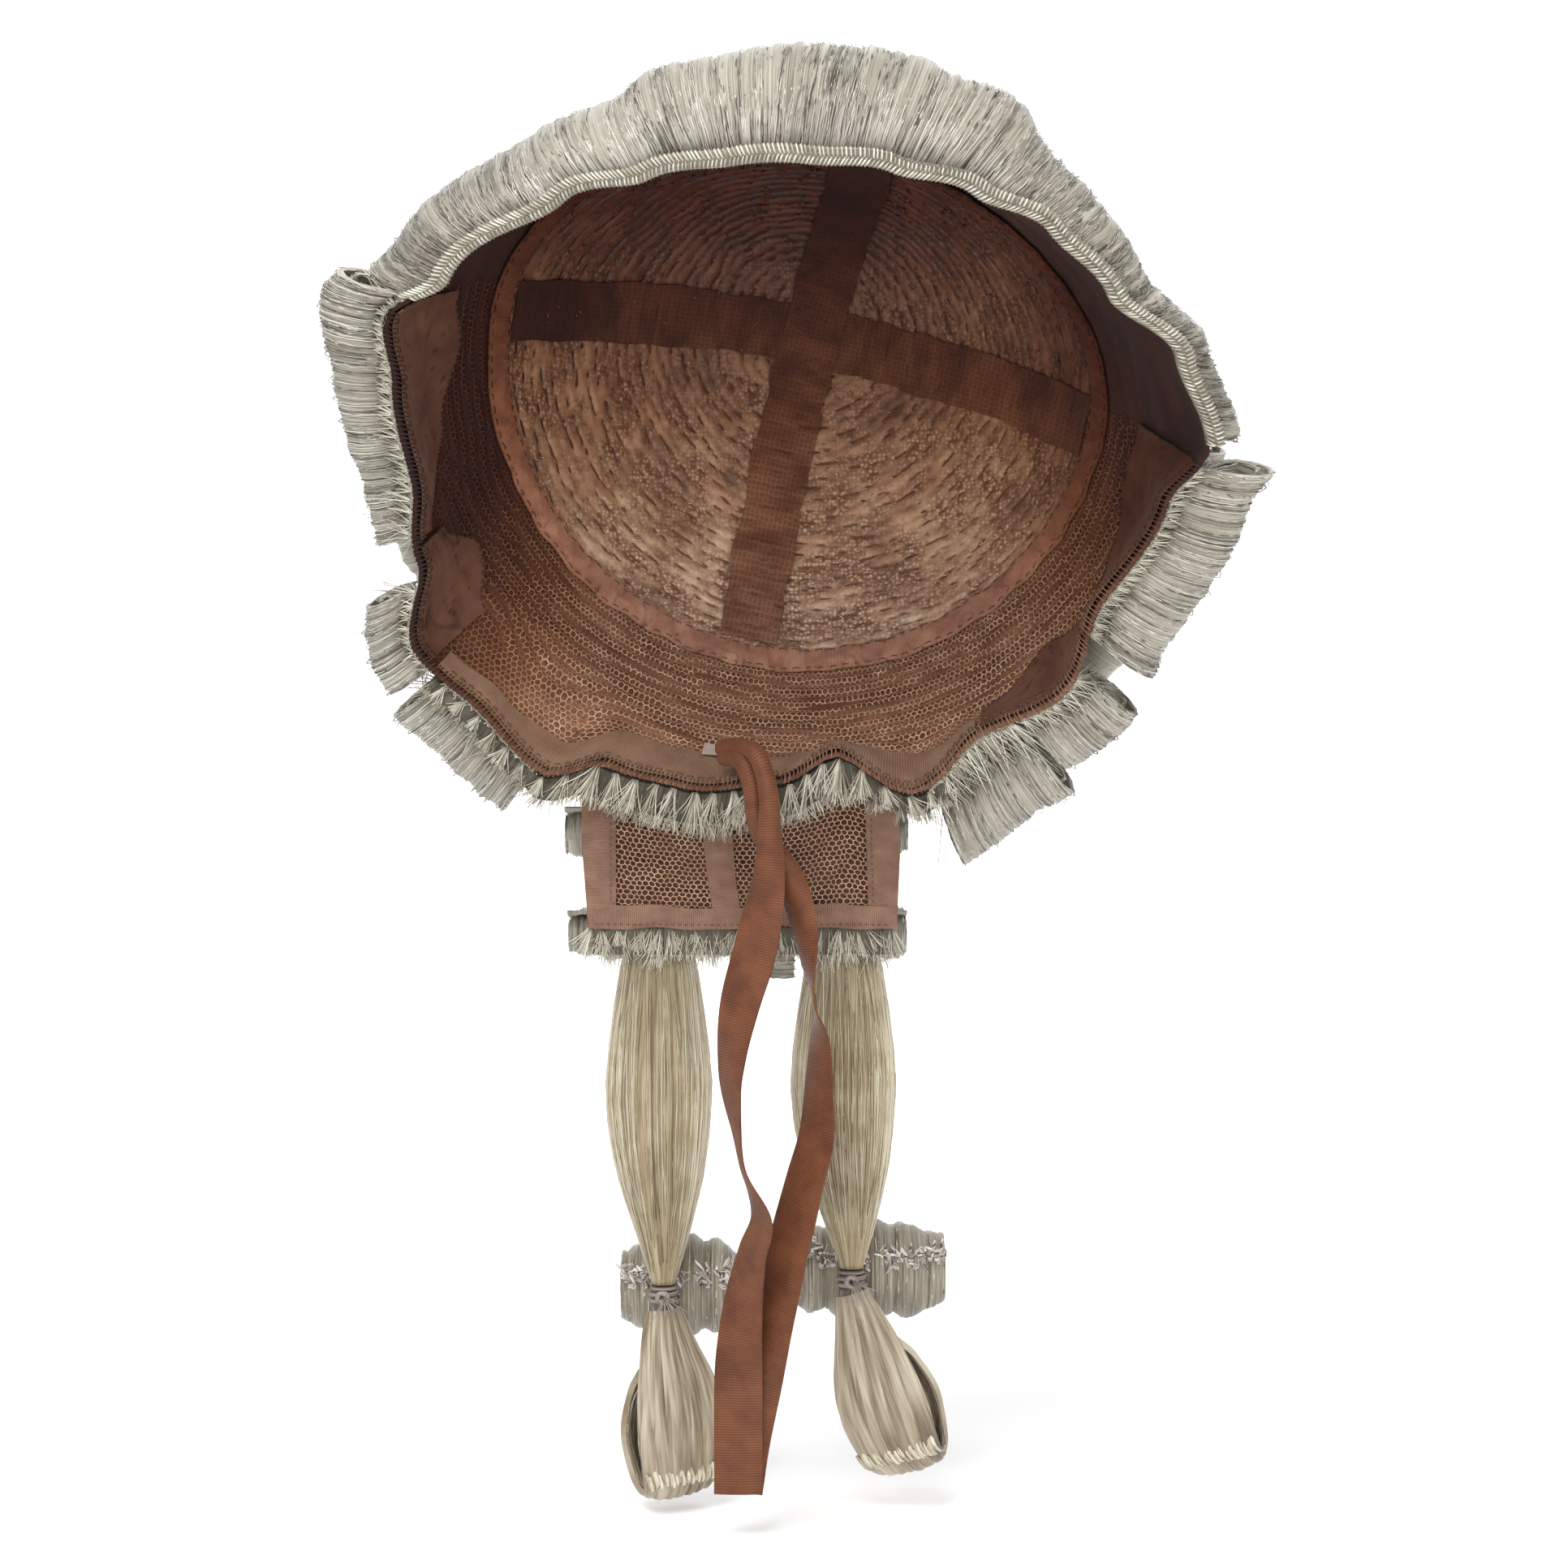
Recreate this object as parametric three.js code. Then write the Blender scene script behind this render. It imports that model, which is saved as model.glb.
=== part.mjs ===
// A barrister's wig held up by its crown with the open cap turned to -Y, in millimetres, +Z up.
// The origin is the inner crown of the cap, where the two lining bands cross.

import * as THREE from "three";
import { mergeVertices } from "three/addons/utils/BufferGeometryUtils.js";

// Cap: bearings are degrees about its own axis, 0 at the brow and positive towards +X.
// Rises are degrees from 0 at the rim to 90 at the crown.
const CAP_PITCH = 20;
const CAP_ROLL = 12.5;
const CAP_DEPTH = 111;
const SIDE_REACH = 92;
const BROW_REACH = 62;
const NAPE_REACH = 91;
const BROW_FULLNESS = 1;
const RIM_FADE = 17;
const NET_WALL = 1.2;
const CLEARANCE = 0.3;
const LINING_CLEARANCE = 0.5;
const SOFT_CLEARANCE = 0.95;
const COLUMNS = 48;
const ROWS = 9;

// Hair on the outside of the cap.
const CROWN_DEPTH = 9;
const CROWN_EDGE_DEPTH = 6;
const CROWN_EDGE_RISE = 10;
const CROWN_LOW_BROW = 20;
const CROWN_LOW_SIDE = 30.5;
const CROWN_TURN_START = 45;
const CROWN_TURN_END = 80;
const FRONT_LEFT = -83.6;
const FRONT_RIGHT = 80;
const FRONT_LIFT = 23.5;
const FRONT_SEAM = 0.5;
const FRONT_HAIR_LOW = 0.6;
const BRAID_WIDTH = 4.4;
const BRAID_HEIGHT = 3;

// Lining tapes and facings on the inside of the cap.
const TAPE_THICKNESS = 0.8;
const RING_TAPE_LOW = 31.2;
const RING_TAPE_HIGH = 35.2;
const BAND_WIDTH = 16;
const BAND_SEAT = 2;
const BAND_SPANS = 14;
const LONG_BAND_BROW = 5;
const LONG_BAND_NAPE = -1;
const SIDE_BAND = 89;
const BAND_STEP_HALF = 9;
const BAND_STEP_RAMP = 6;
const NAPE_TAPE_LEFT = 222;
const NAPE_TAPE_RIGHT = 136;
const NAPE_TAPE_LOW = 0.8;
const NAPE_TAPE_HIGH = 9.0;
const LABEL_WIDTH = 12;
const LABEL_HEIGHT = 5;
const LABEL_THICKNESS = 0.4;
const LABEL_BEARING = 178;
const LABEL_ABOVE_TAPE = 1.8;
const LABEL_SEAT = 1.9;

// Rolled curls.
const ROLL_SIDES = 8;
const ROLL_RADIUS = 8;
const ROLL_WALL = 3.5;
const ROLL_FROM = 84;
const ROLL_TO = 276;
const ROLLS_PER_ROW = 7;
const ROLL_GAP = 2;
const MIDDLE_ROW_RISE = 16.4;
const UPPER_ROW_RISE = 24.8;

// Short cut fringe behind the nape tape.
const FRINGE_LENGTH = 10;
const FRINGE_BACKING = 1.8;
const FRINGE_LOW = 0.4;
const FRINGE_HIGH = 4;
const FRINGE_LOCKS = 26;
const FRINGE_OUT = 0.94;
const FRINGE_DROP = 0.34;
const LOCK_NOTCH = 0.7;

// Hanging flap, measured upright from the middle of the nape like all that hangs below it.
const FLAP_LEFT = -28.8;
const FLAP_WIDTH = 76;
const FLAP_BOTTOM = -35;
const FLAP_Y = 11.5;
const FLAP_THICKNESS = 1.2;
const FLAP_RISE = 5.6;
const FLAP_LEFT_BEARING = 198.5;
const FLAP_RIGHT_BEARING = 151;
const FLAP_COLUMNS = 11;
const FLAP_ROWS = 7;
const FLAP_MIDDLE_TAPE_COLUMN = 4;
const FLAP_ROLL_RADIUS = 7.5;
const FLAP_UPPER_ROLL = 24;
const FLAP_LOWER_ROLL = -2;
const FLAP_LOWER_ROLL_BACK = 2.4;
const FLAP_ROLLS_PAST_LEFT = 6;
const FLAP_ROLLS_PAST_RIGHT = 3;
const FLAP_CURL_RADIUS = 4.2;
const FLAP_CURL_FROM_RIGHT = 28.6;
const FLAP_CURL_DROP = 12.5;
const FLAP_CURL_GAP = 1.5;
const FLAP_FRINGE_LOCKS = 18;
const FLAP_FRINGE_LENGTH = 9;
const FLAP_FRINGE_BACKING = 1.4;
const FLAP_FRINGE_HEIGHT = 5;
const FLAP_FRINGE_INSET = 1;

// Tails, their ties, end loops and end curls.
const TAIL_Y = 19;
const TAIL_TOP_GAP = 1;
const TAIL_LENGTH = 88;
const TAIL_WIDTH = 27;
const BUNDLE_SIDES = 8;
const TIE_RADIUS = 4;
const TIE_HEIGHT = 5;
const TIE_END = 0.75;
const LOOP_LENGTH = 46;
const LOOP_DEPTH = 13;
const LOOP_WIDTH = 23;
const LOOP_WALL = 3;
const END_CURL_RADIUS = 12;

// Adjusting ribbon.
const RIBBON_WIDTH = 11.5;
const RIBBON_THICKNESS = 1;

// Inner edge of the rim: reach from the cap's axis, as a share of SIDE_REACH.
const RIM = [
  { bearing: -177, reach: 1.0 },
  { bearing: -165, reach: 1.02 },
  { bearing: -158, reach: 1.13 },
  { bearing: -146, reach: 1.1 },
  { bearing: -135, reach: 1.13 },
  { bearing: -124, reach: 1.0 },
  { bearing: -112, reach: 0.945 },
  { bearing: -97, reach: 0.97 },
  { bearing: -88, reach: 1.01 },
  { bearing: -79, reach: 0.89 },
  { bearing: -56, reach: 0.755 },
  { bearing: -40, reach: 0.675 },
  { bearing: -22, reach: 0.64 },
  { bearing: -5, reach: 0.64 },
  { bearing: 12, reach: 0.675 },
  { bearing: 28, reach: 0.735 },
  { bearing: 42, reach: 0.81 },
  { bearing: 56, reach: 0.865 },
  { bearing: 68, reach: 0.99 },
  { bearing: 81, reach: 1.06 },
  { bearing: 89, reach: 0.98 },
  { bearing: 108, reach: 0.925 },
  { bearing: 122, reach: 1.0 },
  { bearing: 136, reach: 0.955 },
  { bearing: 148, reach: 1.03 },
  { bearing: 159, reach: 0.88 },
  { bearing: 169, reach: 0.95 },
];

// Height of the front hair above the wall, as a share of FRONT_LIFT.
const FRONT_SWEEP = [
  { bearing: -84, lift: 0.58 },
  { bearing: -60, lift: 0.5 },
  { bearing: -46, lift: 0.62 },
  { bearing: -30, lift: 0.88 },
  { bearing: 0, lift: 1.0 },
  { bearing: 22, lift: 0.92 },
  { bearing: 40, lift: 0.5 },
  { bearing: 60, lift: 0.36 },
  { bearing: 80, lift: 0.42 },
];

// Section of the front hair from the rim to the crown hair: along the wall and out from it.
const FRONT_SECTION = [
  { along: 0.0, out: 0.2 },
  { along: 0.05, out: 0.6 },
  { along: 0.16, out: 0.92 },
  { along: 0.34, out: 1.0 },
  { along: 0.6, out: 0.8 },
];

// Satin facings: their upper edge, in degrees of rise.
const FACINGS = {
  temple_facing_left: [
    { bearing: -86, rise: 21 },
    { bearing: -95, rise: 24 },
    { bearing: -108, rise: 18 },
    { bearing: -121, rise: 6 },
  ],
  ear_facing_left: [
    { bearing: -122, rise: 10 },
    { bearing: -128, rise: 17 },
    { bearing: -137, rise: 12 },
  ],
  temple_facing_right: [
    { bearing: 83, rise: 21 },
    { bearing: 92, rise: 23 },
    { bearing: 103, rise: 17 },
    { bearing: 113, rise: 9 },
  ],
  ear_facing_right: [
    { bearing: 114, rise: 11 },
    { bearing: 122, rise: 15 },
    { bearing: 135, rise: 8 },
  ],
};

// Lowest row of rolls, next to the rim: radii as shares of ROLL_RADIUS, stand is mm off the cap.
const RIM_ROLLS = [
  { name: "rim_roll_1", from: -84, to: -121, rise: 3, riseEnd: 8, stand: 0, size: 1.1, sizeEnd: 0.8 },
  { name: "rim_roll_2", from: -127.5, to: -138, rise: 5, riseEnd: 5, stand: 2, size: 0.95, sizeEnd: 0.95 },
  { name: "rim_roll_3", from: -140.5, to: -157, rise: 7, riseEnd: 7, stand: 8, size: 1.1, sizeEnd: 1.05 },
  { name: "rim_roll_4", from: 146.5, to: 131, rise: 7, riseEnd: 7, stand: 8, size: 1.25, sizeEnd: 1.2 },
  { name: "rim_roll_5", from: 129.5, to: 118.5, rise: 6, riseEnd: 6, stand: 3, size: 1.05, sizeEnd: 1.05 },
  { name: "rim_roll_6", from: 113, to: 84, rise: 4, riseEnd: 4, stand: 0.5, size: 1.15, sizeEnd: 1.15 },
];

// Length of the nape fringe, as a share of FRINGE_LENGTH.
const FRINGE_SHAPE = [
  { bearing: 143, share: 0.45 },
  { bearing: 150, share: 0.6 },
  { bearing: 157, share: 1.0 },
  { bearing: 198, share: 1.0 },
  { bearing: 203, share: 0.55 },
  { bearing: 221, share: 0.45 },
];

// Tails: where each hangs and is tied, how its end loop turns and leans in degrees, where its
// end curl runs from and to, and its length as a share of TAIL_LENGTH.
const TAILS = [
  {
    side: "left",
    x: -11.8,
    tieX: -10.6,
    turn: 28,
    lean: 4.5,
    curlFrom: -21.7,
    curlTo: 7.3,
    length: 1,
  },
  {
    side: "right",
    x: 34.2,
    tieX: 36.2,
    turn: -20,
    lean: 19,
    curlFrom: 21.3,
    curlTo: 59.8,
    length: 0.955,
  },
];

// Sections down a tail, as shares of its length and of TAIL_WIDTH.
const TAIL_SECTIONS = [
  { along: 0.0, width: 0.6, depth: 0.24 },
  { along: 0.12, width: 0.76, depth: 0.32 },
  { along: 0.25, width: 0.88, depth: 0.38 },
  { along: 0.45, width: 1.0, depth: 0.42 },
  { along: 0.66, width: 0.86, depth: 0.4 },
  { along: 0.84, width: 0.55, depth: 0.36 },
  { along: 1.0, width: 0.24, depth: 0.22 },
];

// End loop of a tail: drop along its length, depth behind the front and width, as shares.
const LOOP_SECTIONS = [
  { drop: 0.02, depth: 0.0, width: 0.3 },
  { drop: 0.2, depth: -0.1, width: 0.56 },
  { drop: 0.42, depth: -0.32, width: 0.86 },
  { drop: 0.66, depth: -0.42, width: 1.0 },
  { drop: 0.88, depth: -0.28, width: 0.9 },
  { drop: 0.98, depth: 0.02, width: 0.8 },
  { drop: 0.9, depth: 0.34, width: 0.84 },
  { drop: 0.68, depth: 0.48, width: 0.92 },
  { drop: 0.46, depth: 0.42, width: 0.72 },
  { drop: 0.34, depth: 0.26, width: 0.5 },
];

// Ribbon strands: a hand-set hanging route from the middle of the nape, and the ribbon's turn
// about its own line.
const RIBBONS = {
  ribbon_front: [
    { x: 4.4, y: 3, z: 7.2, turn: 0 },
    { x: 9.2, y: -3, z: 7.6, turn: 2 },
    { x: 13.8, y: -8, z: 5.2, turn: 6 },
    { x: 16.2, y: -9.8, z: -3, turn: 12 },
    { x: 16.8, y: -10, z: -14.8, turn: 36 },
    { x: 15.3, y: -10, z: -26.5, turn: 34 },
    { x: 12.4, y: -9.8, z: -40.2, turn: 28 },
    { x: 9.1, y: -9.6, z: -51.9, turn: 36 },
    { x: 7.1, y: -9.4, z: -64.6, turn: 55 },
    { x: 7.1, y: -9.2, z: -74.4, turn: 68 },
    { x: 9.8, y: -9, z: -90.6, turn: 84 },
    { x: 14.3, y: -8.8, z: -103.1, turn: 66 },
    { x: 12, y: -8.6, z: -111.8, turn: 56 },
    { x: 10, y: -8.4, z: -123.2, turn: 39 },
    { x: 9, y: -8.2, z: -132.9, turn: 24 },
    { x: 8.5, y: -8, z: -144.8, turn: 4 },
    { x: 8.5, y: -8, z: -169.2, turn: 0 },
  ],
  ribbon_rear: [
    { x: 5, y: 2.4, z: 5.4, turn: 0 },
    { x: 9, y: -3.2, z: 4.8, turn: 4 },
    { x: 11.8, y: -6, z: 0.5, turn: 8 },
    { x: 14, y: -6.4, z: -9.9, turn: 20 },
    { x: 19.6, y: -6.4, z: -17.8, turn: 30 },
    { x: 22.8, y: -6.4, z: -25.6, turn: 45 },
    { x: 24.9, y: -6.4, z: -35.3, turn: 60 },
    { x: 25.7, y: -6.3, z: -44.1, turn: 78 },
    { x: 27.2, y: -6.2, z: -52, turn: 92 },
    { x: 28.2, y: -6.1, z: -60.8, turn: 68 },
    { x: 28, y: -6, z: -73.3, turn: 56 },
    { x: 27.4, y: -6, z: -84.3, turn: 46 },
    { x: 24.5, y: -5.9, z: -95.2, turn: 40 },
    { x: 21.4, y: -5.8, z: -107.7, turn: 34 },
    { x: 18.6, y: -5.7, z: -119.5, turn: 30 },
    { x: 15.9, y: -5.6, z: -131.2, turn: 22 },
    { x: 13.3, y: -5.6, z: -143, turn: 6 },
    { x: 10.4, y: -5.6, z: -156.7, turn: 0 },
    { x: 8.5, y: -5.6, z: -169.2, turn: 0 },
  ],
};

const MATERIALS = {
  net: new THREE.MeshStandardMaterial({ color: "#7d4a31", roughness: 0.9, metalness: 0 }),
  hair: new THREE.MeshStandardMaterial({ color: "#cfc6b4", roughness: 0.6, metalness: 0 }),
  tail: new THREE.MeshStandardMaterial({ color: "#c4b083", roughness: 0.5, metalness: 0 }),
  tape: new THREE.MeshStandardMaterial({ color: "#96604b", roughness: 0.85, metalness: 0 }),
  satin: new THREE.MeshStandardMaterial({ color: "#4d2b22", roughness: 0.6, metalness: 0 }),
  ribbon: new THREE.MeshStandardMaterial({ color: "#a5603c", roughness: 0.7, metalness: 0 }),
  label: new THREE.MeshStandardMaterial({ color: "#d8c7ba", roughness: 0.8, metalness: 0 }),
};

const radians = THREE.MathUtils.degToRad;
const mix = THREE.MathUtils.lerp;
const smooth = THREE.MathUtils.smoothstep;
const columnStep = 360 / COLUMNS;
const rowStep = 90 / ROWS;

// Value of a table's column between its rows, eased from row to row.
function lookUp(table, key, column, at) {
  const last = table.length - 1;
  const step = Math.sign(table[last][key] - table[0][key]);
  let row = 0;
  while (row < last - 1 && (at - table[row + 1][key]) * step > 0) row += 1;
  const share = smooth(at * step, table[row][key] * step, table[row + 1][key] * step);
  return mix(table[row][column], table[row + 1][column], share);
}

// Bearing brought into -180 to 180.
function wrapBearing(bearing) {
  return THREE.MathUtils.euclideanModulo(bearing + 180, 360) - 180;
}

// Inner reach of the rim at a bearing.
function rimReach(bearing) {
  const first = RIM[0];
  const closed = [...RIM, { bearing: first.bearing + 360, reach: first.reach }];
  let at = wrapBearing(bearing);
  if (at < first.bearing) at += 360;
  return SIDE_REACH * lookUp(closed, "bearing", "reach", at);
}

// Inner reach of the smooth crown above the wavy rim.
function crownReach(bearing) {
  const fore = Math.cos(radians(bearing));
  const reach = fore > 0 ? BROW_REACH : NAPE_REACH;
  return 1 / Math.hypot(fore / reach, Math.sin(radians(bearing)) / SIDE_REACH);
}

// The cap's meridians are ellipses at the sides and nape, and fuller curves at the brow.
function fullness(bearing) {
  return 2 + BROW_FULLNESS * Math.max(0, Math.cos(radians(bearing))) ** 2;
}

// Point of the cap's smooth form, offset outwards from its inner face.
function domePoint(bearing, rise, offset) {
  const power = 2 / fullness(bearing);
  const reach = mix(rimReach(bearing), crownReach(bearing), smooth(rise, 0, RIM_FADE)) + offset;
  const radius = reach * Math.max(0, Math.cos(radians(rise))) ** power;
  const height = (CAP_DEPTH + offset) * Math.sin(radians(rise)) ** power - CAP_DEPTH;
  const angle = radians(bearing);
  return new THREE.Vector3(radius * Math.sin(angle), height, radius * Math.cos(angle));
}

// Point on the flat facets between the cap's own columns and rows.
function wallPoint(bearing, rise, offset) {
  const column = Math.floor(bearing / columnStep);
  const row = Math.min(Math.floor(rise / rowStep), ROWS - 1);
  const across = bearing / columnStep - column;
  const up = rise / rowStep - row;
  const corner = (i, j) => domePoint((column + i) * columnStep, (row + j) * rowStep, offset);
  const start = corner(0, 0);
  const end = corner(1, 1);
  const side = across > up ? corner(1, 0) : corner(0, 1);
  const [first, second] = across > up ? [across, up] : [up, across];
  return start.clone().addScaledVector(side.clone().sub(start), first)
    .addScaledVector(end.sub(side), second);
}

// Bearings from one to another, with a stop at each of the cap's own columns between them,
// or at more of them when each column is divided.
function bearingStops(from, to, division = 1) {
  const inner = [];
  const [low, high] = from < to ? [from, to] : [to, from];
  const step = columnStep / division;
  const shortest = step / 10;
  for (let i = Math.ceil(low / step); i * step < high; i += 1) {
    const stop = i * step;
    if (stop - low > shortest && high - stop > shortest) inner.push(stop);
  }
  const stops = [low, ...inner, high];
  return from < to ? stops : stops.reverse();
}

// Rises between two limits that also stop at the cap's own rows.
function riseStops(low, high, division = 1) {
  const stops = [low];
  for (let i = 1; i < ROWS * division; i += 1) {
    stops.push(THREE.MathUtils.clamp((i * rowStep) / division, low, high));
  }
  return [...stops, high];
}

// Triangles that fill a ring, wound the way the ring runs.
function endFaces(ring) {
  const normal = new THREE.Vector3();
  ring.forEach((point, i) => normal.add(point.clone().cross(ring[(i + 1) % ring.length])));
  normal.normalize();
  const across = new THREE.Vector3(1, 0, 0).projectOnPlane(normal);
  if (across.length() < 0.5) across.set(0, 0, 1).projectOnPlane(normal);
  across.normalize();
  const up = normal.clone().cross(across);
  const flat = ring.map((point) => new THREE.Vector2(point.dot(across), point.dot(up)));
  return THREE.ShapeUtils.triangulateShape([...flat], []).map(([a, b, c]) => {
    const turn = flat[b].clone().sub(flat[a]).cross(flat[c].clone().sub(flat[a]));
    return turn < 0 ? [a, c, b] : [a, b, c];
  });
}

// Closed solid through rings of points: a run with two end faces, or a run that meets itself.
// The two halves of a ring are creased alike, so that the skins of a shell stay parallel.
function loft(rings, joined = false) {
  const size = rings[0].length;
  const faces = [];
  const spans = joined ? rings.length : rings.length - 1;
  for (let ring = 0; ring < spans; ring += 1) {
    const here = ring * size;
    const there = ((ring + 1) % rings.length) * size;
    for (let i = 0; i < size; i += 1) {
      const next = (i + 1) % size;
      const [a, b, c, d] = [here + i, here + next, there + next, there + i];
      if (i < size / 2) faces.push([a, b, c], [a, c, d]);
      else faces.push([a, b, d], [b, c, d]);
    }
  }
  if (!joined) {
    const end = (rings.length - 1) * size;
    endFaces(rings[0]).forEach(([a, b, c]) => faces.push([a, c, b]));
    endFaces(rings.at(-1)).forEach(([a, b, c]) => faces.push([end + a, end + b, end + c]));
  }
  const raw = new THREE.BufferGeometry();
  const points = rings.flat().flatMap((point) => point.toArray());
  raw.setAttribute("position", new THREE.Float32BufferAttribute(points, 3));
  raw.setIndex(faces.flat());
  return closeUp(raw);
}

// Joins equal points, drops faces that shrank to a line and turns the faces outwards.
function closeUp(raw) {
  const joint = mergeVertices(raw, 2e-3);
  const index = joint.index.array;
  const place = (i) => new THREE.Vector3().fromBufferAttribute(joint.attributes.position, i);
  const kept = [];
  let volume = 0;
  for (let i = 0; i < index.length; i += 3) {
    const [a, b, c] = [index[i], index[i + 1], index[i + 2]];
    if (a === b || b === c || c === a) continue;
    kept.push([a, b, c]);
    volume += place(a).dot(place(b).cross(place(c)));
  }
  joint.setIndex(kept.flatMap(([a, b, c]) => (volume < 0 ? [a, c, b] : [a, b, c])));
  joint.computeVertexNormals();
  return joint;
}

function piece(parent, name, material, geometry) {
  const mesh = new THREE.Mesh(geometry, MATERIALS[material]);
  mesh.name = name;
  parent.add(mesh);
  return mesh;
}

const wig = new THREE.Group();
const cap = new THREE.Group();
cap.rotation.set(radians(CAP_PITCH), radians(CAP_ROLL), 0, "YXZ");
cap.updateMatrix();
wig.add(cap);

const hanging = new THREE.Group();
hanging.position.copy(wallPoint(180, 0, 0).applyMatrix4(cap.matrix));
wig.add(hanging);

// Point of the cap's wall, measured upright from the middle of the nape.
function hangingPoint(bearing, rise, offset) {
  return wallPoint(bearing, rise, offset).applyMatrix4(cap.matrix).sub(hanging.position);
}

// Section of a skin on the cap at one bearing, between two rises and two offsets.
function skinRing(bearing, low, high, near, far, division = 1) {
  const rises = riseStops(low, high, division);
  const inner = rises.map((rise) => wallPoint(bearing, rise, near));
  const outer = rises.map((rise) => wallPoint(bearing, rise, far(rise)));
  return [...inner, ...outer.reverse()];
}

const allColumns = Array.from({ length: COLUMNS }, (_, column) => column * columnStep);

function makeNetCap() {
  const rings = allColumns.map((bearing) => skinRing(bearing, 0, 90, 0, () => NET_WALL));
  piece(cap, "net_cap", "net", loft(rings, true));
}

// Lower edge of the crown hair, which drops towards the brow.
function crownLow(bearing) {
  const side = smooth(Math.abs(wrapBearing(bearing)), CROWN_TURN_START, CROWN_TURN_END);
  return mix(CROWN_LOW_BROW, CROWN_LOW_SIDE, side);
}

function makeCrownHair() {
  const rings = allColumns.map((bearing) => {
    const low = crownLow(bearing);
    const depth = (rise) =>
      NET_WALL + mix(CROWN_EDGE_DEPTH, CROWN_DEPTH, smooth(rise, low, low + CROWN_EDGE_RISE));
    return skinRing(bearing, low, 90, NET_WALL + SOFT_CLEARANCE, depth);
  });
  piece(cap, "crown_hair", "hair", loft(rings, true));
}

function makeFrontHair() {
  const rings = bearingStops(FRONT_LEFT, FRONT_RIGHT).map((bearing) => {
    const top = crownLow(bearing) - FRONT_SEAM;
    const lift = FRONT_LIFT * lookUp(FRONT_SWEEP, "bearing", "lift", bearing);
    const inner = riseStops(FRONT_HAIR_LOW, top).map((rise) =>
      wallPoint(bearing, rise, NET_WALL + SOFT_CLEARANCE + 2 * CLEARANCE),
    );
    const outer = FRONT_SECTION.map(({ along, out }) => {
      const rise = top * along ** (fullness(bearing) / 2);
      return wallPoint(bearing, rise, NET_WALL + lift * out);
    });
    const crest = wallPoint(bearing, top, NET_WALL + CROWN_EDGE_DEPTH);
    return [...inner, crest, ...outer.reverse()];
  });
  piece(cap, "front_hair", "hair", loft(rings));
}

// Woven edge that the front hair springs from, along the rim.
function makeFrontBraid() {
  const section = [
    [0.05, 0],
    [0.9, 0],
    [1, -0.5],
    [0.75, -1],
    [0.2, -1],
    [0, -0.5],
  ];
  const rings = bearingStops(FRONT_LEFT, FRONT_RIGHT).map((bearing) =>
    section.map(([out, down]) => {
      const point = wallPoint(bearing, 0, BRAID_WIDTH * out);
      point.y += BRAID_HEIGHT * down - CLEARANCE;
      return point;
    }),
  );
  piece(cap, "front_braid", "hair", loft(rings));
}

function makeRingTape() {
  const far = -CLEARANCE - TAPE_THICKNESS;
  const rings = allColumns.map((bearing) => [
    wallPoint(bearing, RING_TAPE_LOW, -CLEARANCE),
    wallPoint(bearing, RING_TAPE_HIGH, -CLEARANCE),
    wallPoint(bearing, RING_TAPE_HIGH, far),
    wallPoint(bearing, RING_TAPE_LOW, far),
  ]);
  piece(cap, "crown_ring_tape", "tape", loft(rings, true));
}

// Point on the cap's ceiling above a place measured from its axis.
function ceilingPoint(along, aside, turn, offset) {
  const bearing = turn + THREE.MathUtils.radToDeg(Math.atan2(aside, along));
  const share = Math.min(1, Math.hypot(along, aside) / crownReach(bearing));
  const rise = THREE.MathUtils.radToDeg(Math.acos(share ** (fullness(bearing) / 2)));
  return wallPoint(bearing, rise, offset);
}

// Distance from the axis to the ring tape's upper edge at a bearing.
function ringReach(bearing) {
  const rise = RING_TAPE_HIGH + BAND_SEAT;
  return crownReach(bearing) * Math.cos(radians(rise)) ** (2 / fullness(bearing));
}

// A lining band across the crown; the long one steps over the other where they cross.
function makeCrossBand(name, turnTo, turnFrom, over) {
  const from = -ringReach(turnFrom + 180);
  const to = ringReach(turnTo);
  const rings = [];
  for (let span = 0; span <= BAND_SPANS; span += 1) {
    const along = mix(from, to, span / BAND_SPANS);
    const turn = mix(turnFrom, turnTo, span / BAND_SPANS);
    const lifted = 1 - smooth(Math.abs(along), BAND_STEP_HALF, BAND_STEP_HALF + BAND_STEP_RAMP);
    const near = -CLEARANCE - over * lifted * (TAPE_THICKNESS + CLEARANCE);
    const far = near - TAPE_THICKNESS;
    const half = BAND_WIDTH / 2;
    rings.push([
      ceilingPoint(along, -half, turn, near),
      ceilingPoint(along, half, turn, near),
      ceilingPoint(along, half, turn, far),
      ceilingPoint(along, -half, turn, far),
    ]);
  }
  piece(cap, name, "net", loft(rings));
}

// Section of a lining strip: it follows the cap's facets at half their columns and rows.
function liningRing(bearing, high) {
  const far = () => -LINING_CLEARANCE - TAPE_THICKNESS;
  return skinRing(bearing, NAPE_TAPE_LOW, high, -LINING_CLEARANCE, far, 2);
}

function makeFacings() {
  for (const [name, edge] of Object.entries(FACINGS)) {
    const stops = bearingStops(edge[0].bearing, edge.at(-1).bearing, 2);
    const rings = stops.map((bearing) =>
      liningRing(bearing, lookUp(edge, "bearing", "rise", bearing)),
    );
    piece(cap, name, "satin", loft(rings));
  }
}

function makeNapeTape() {
  const rings = bearingStops(NAPE_TAPE_RIGHT, NAPE_TAPE_LEFT, 2).map((bearing) =>
    liningRing(bearing, NAPE_TAPE_HIGH),
  );
  piece(cap, "nape_tape", "tape", loft(rings));
}

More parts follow.
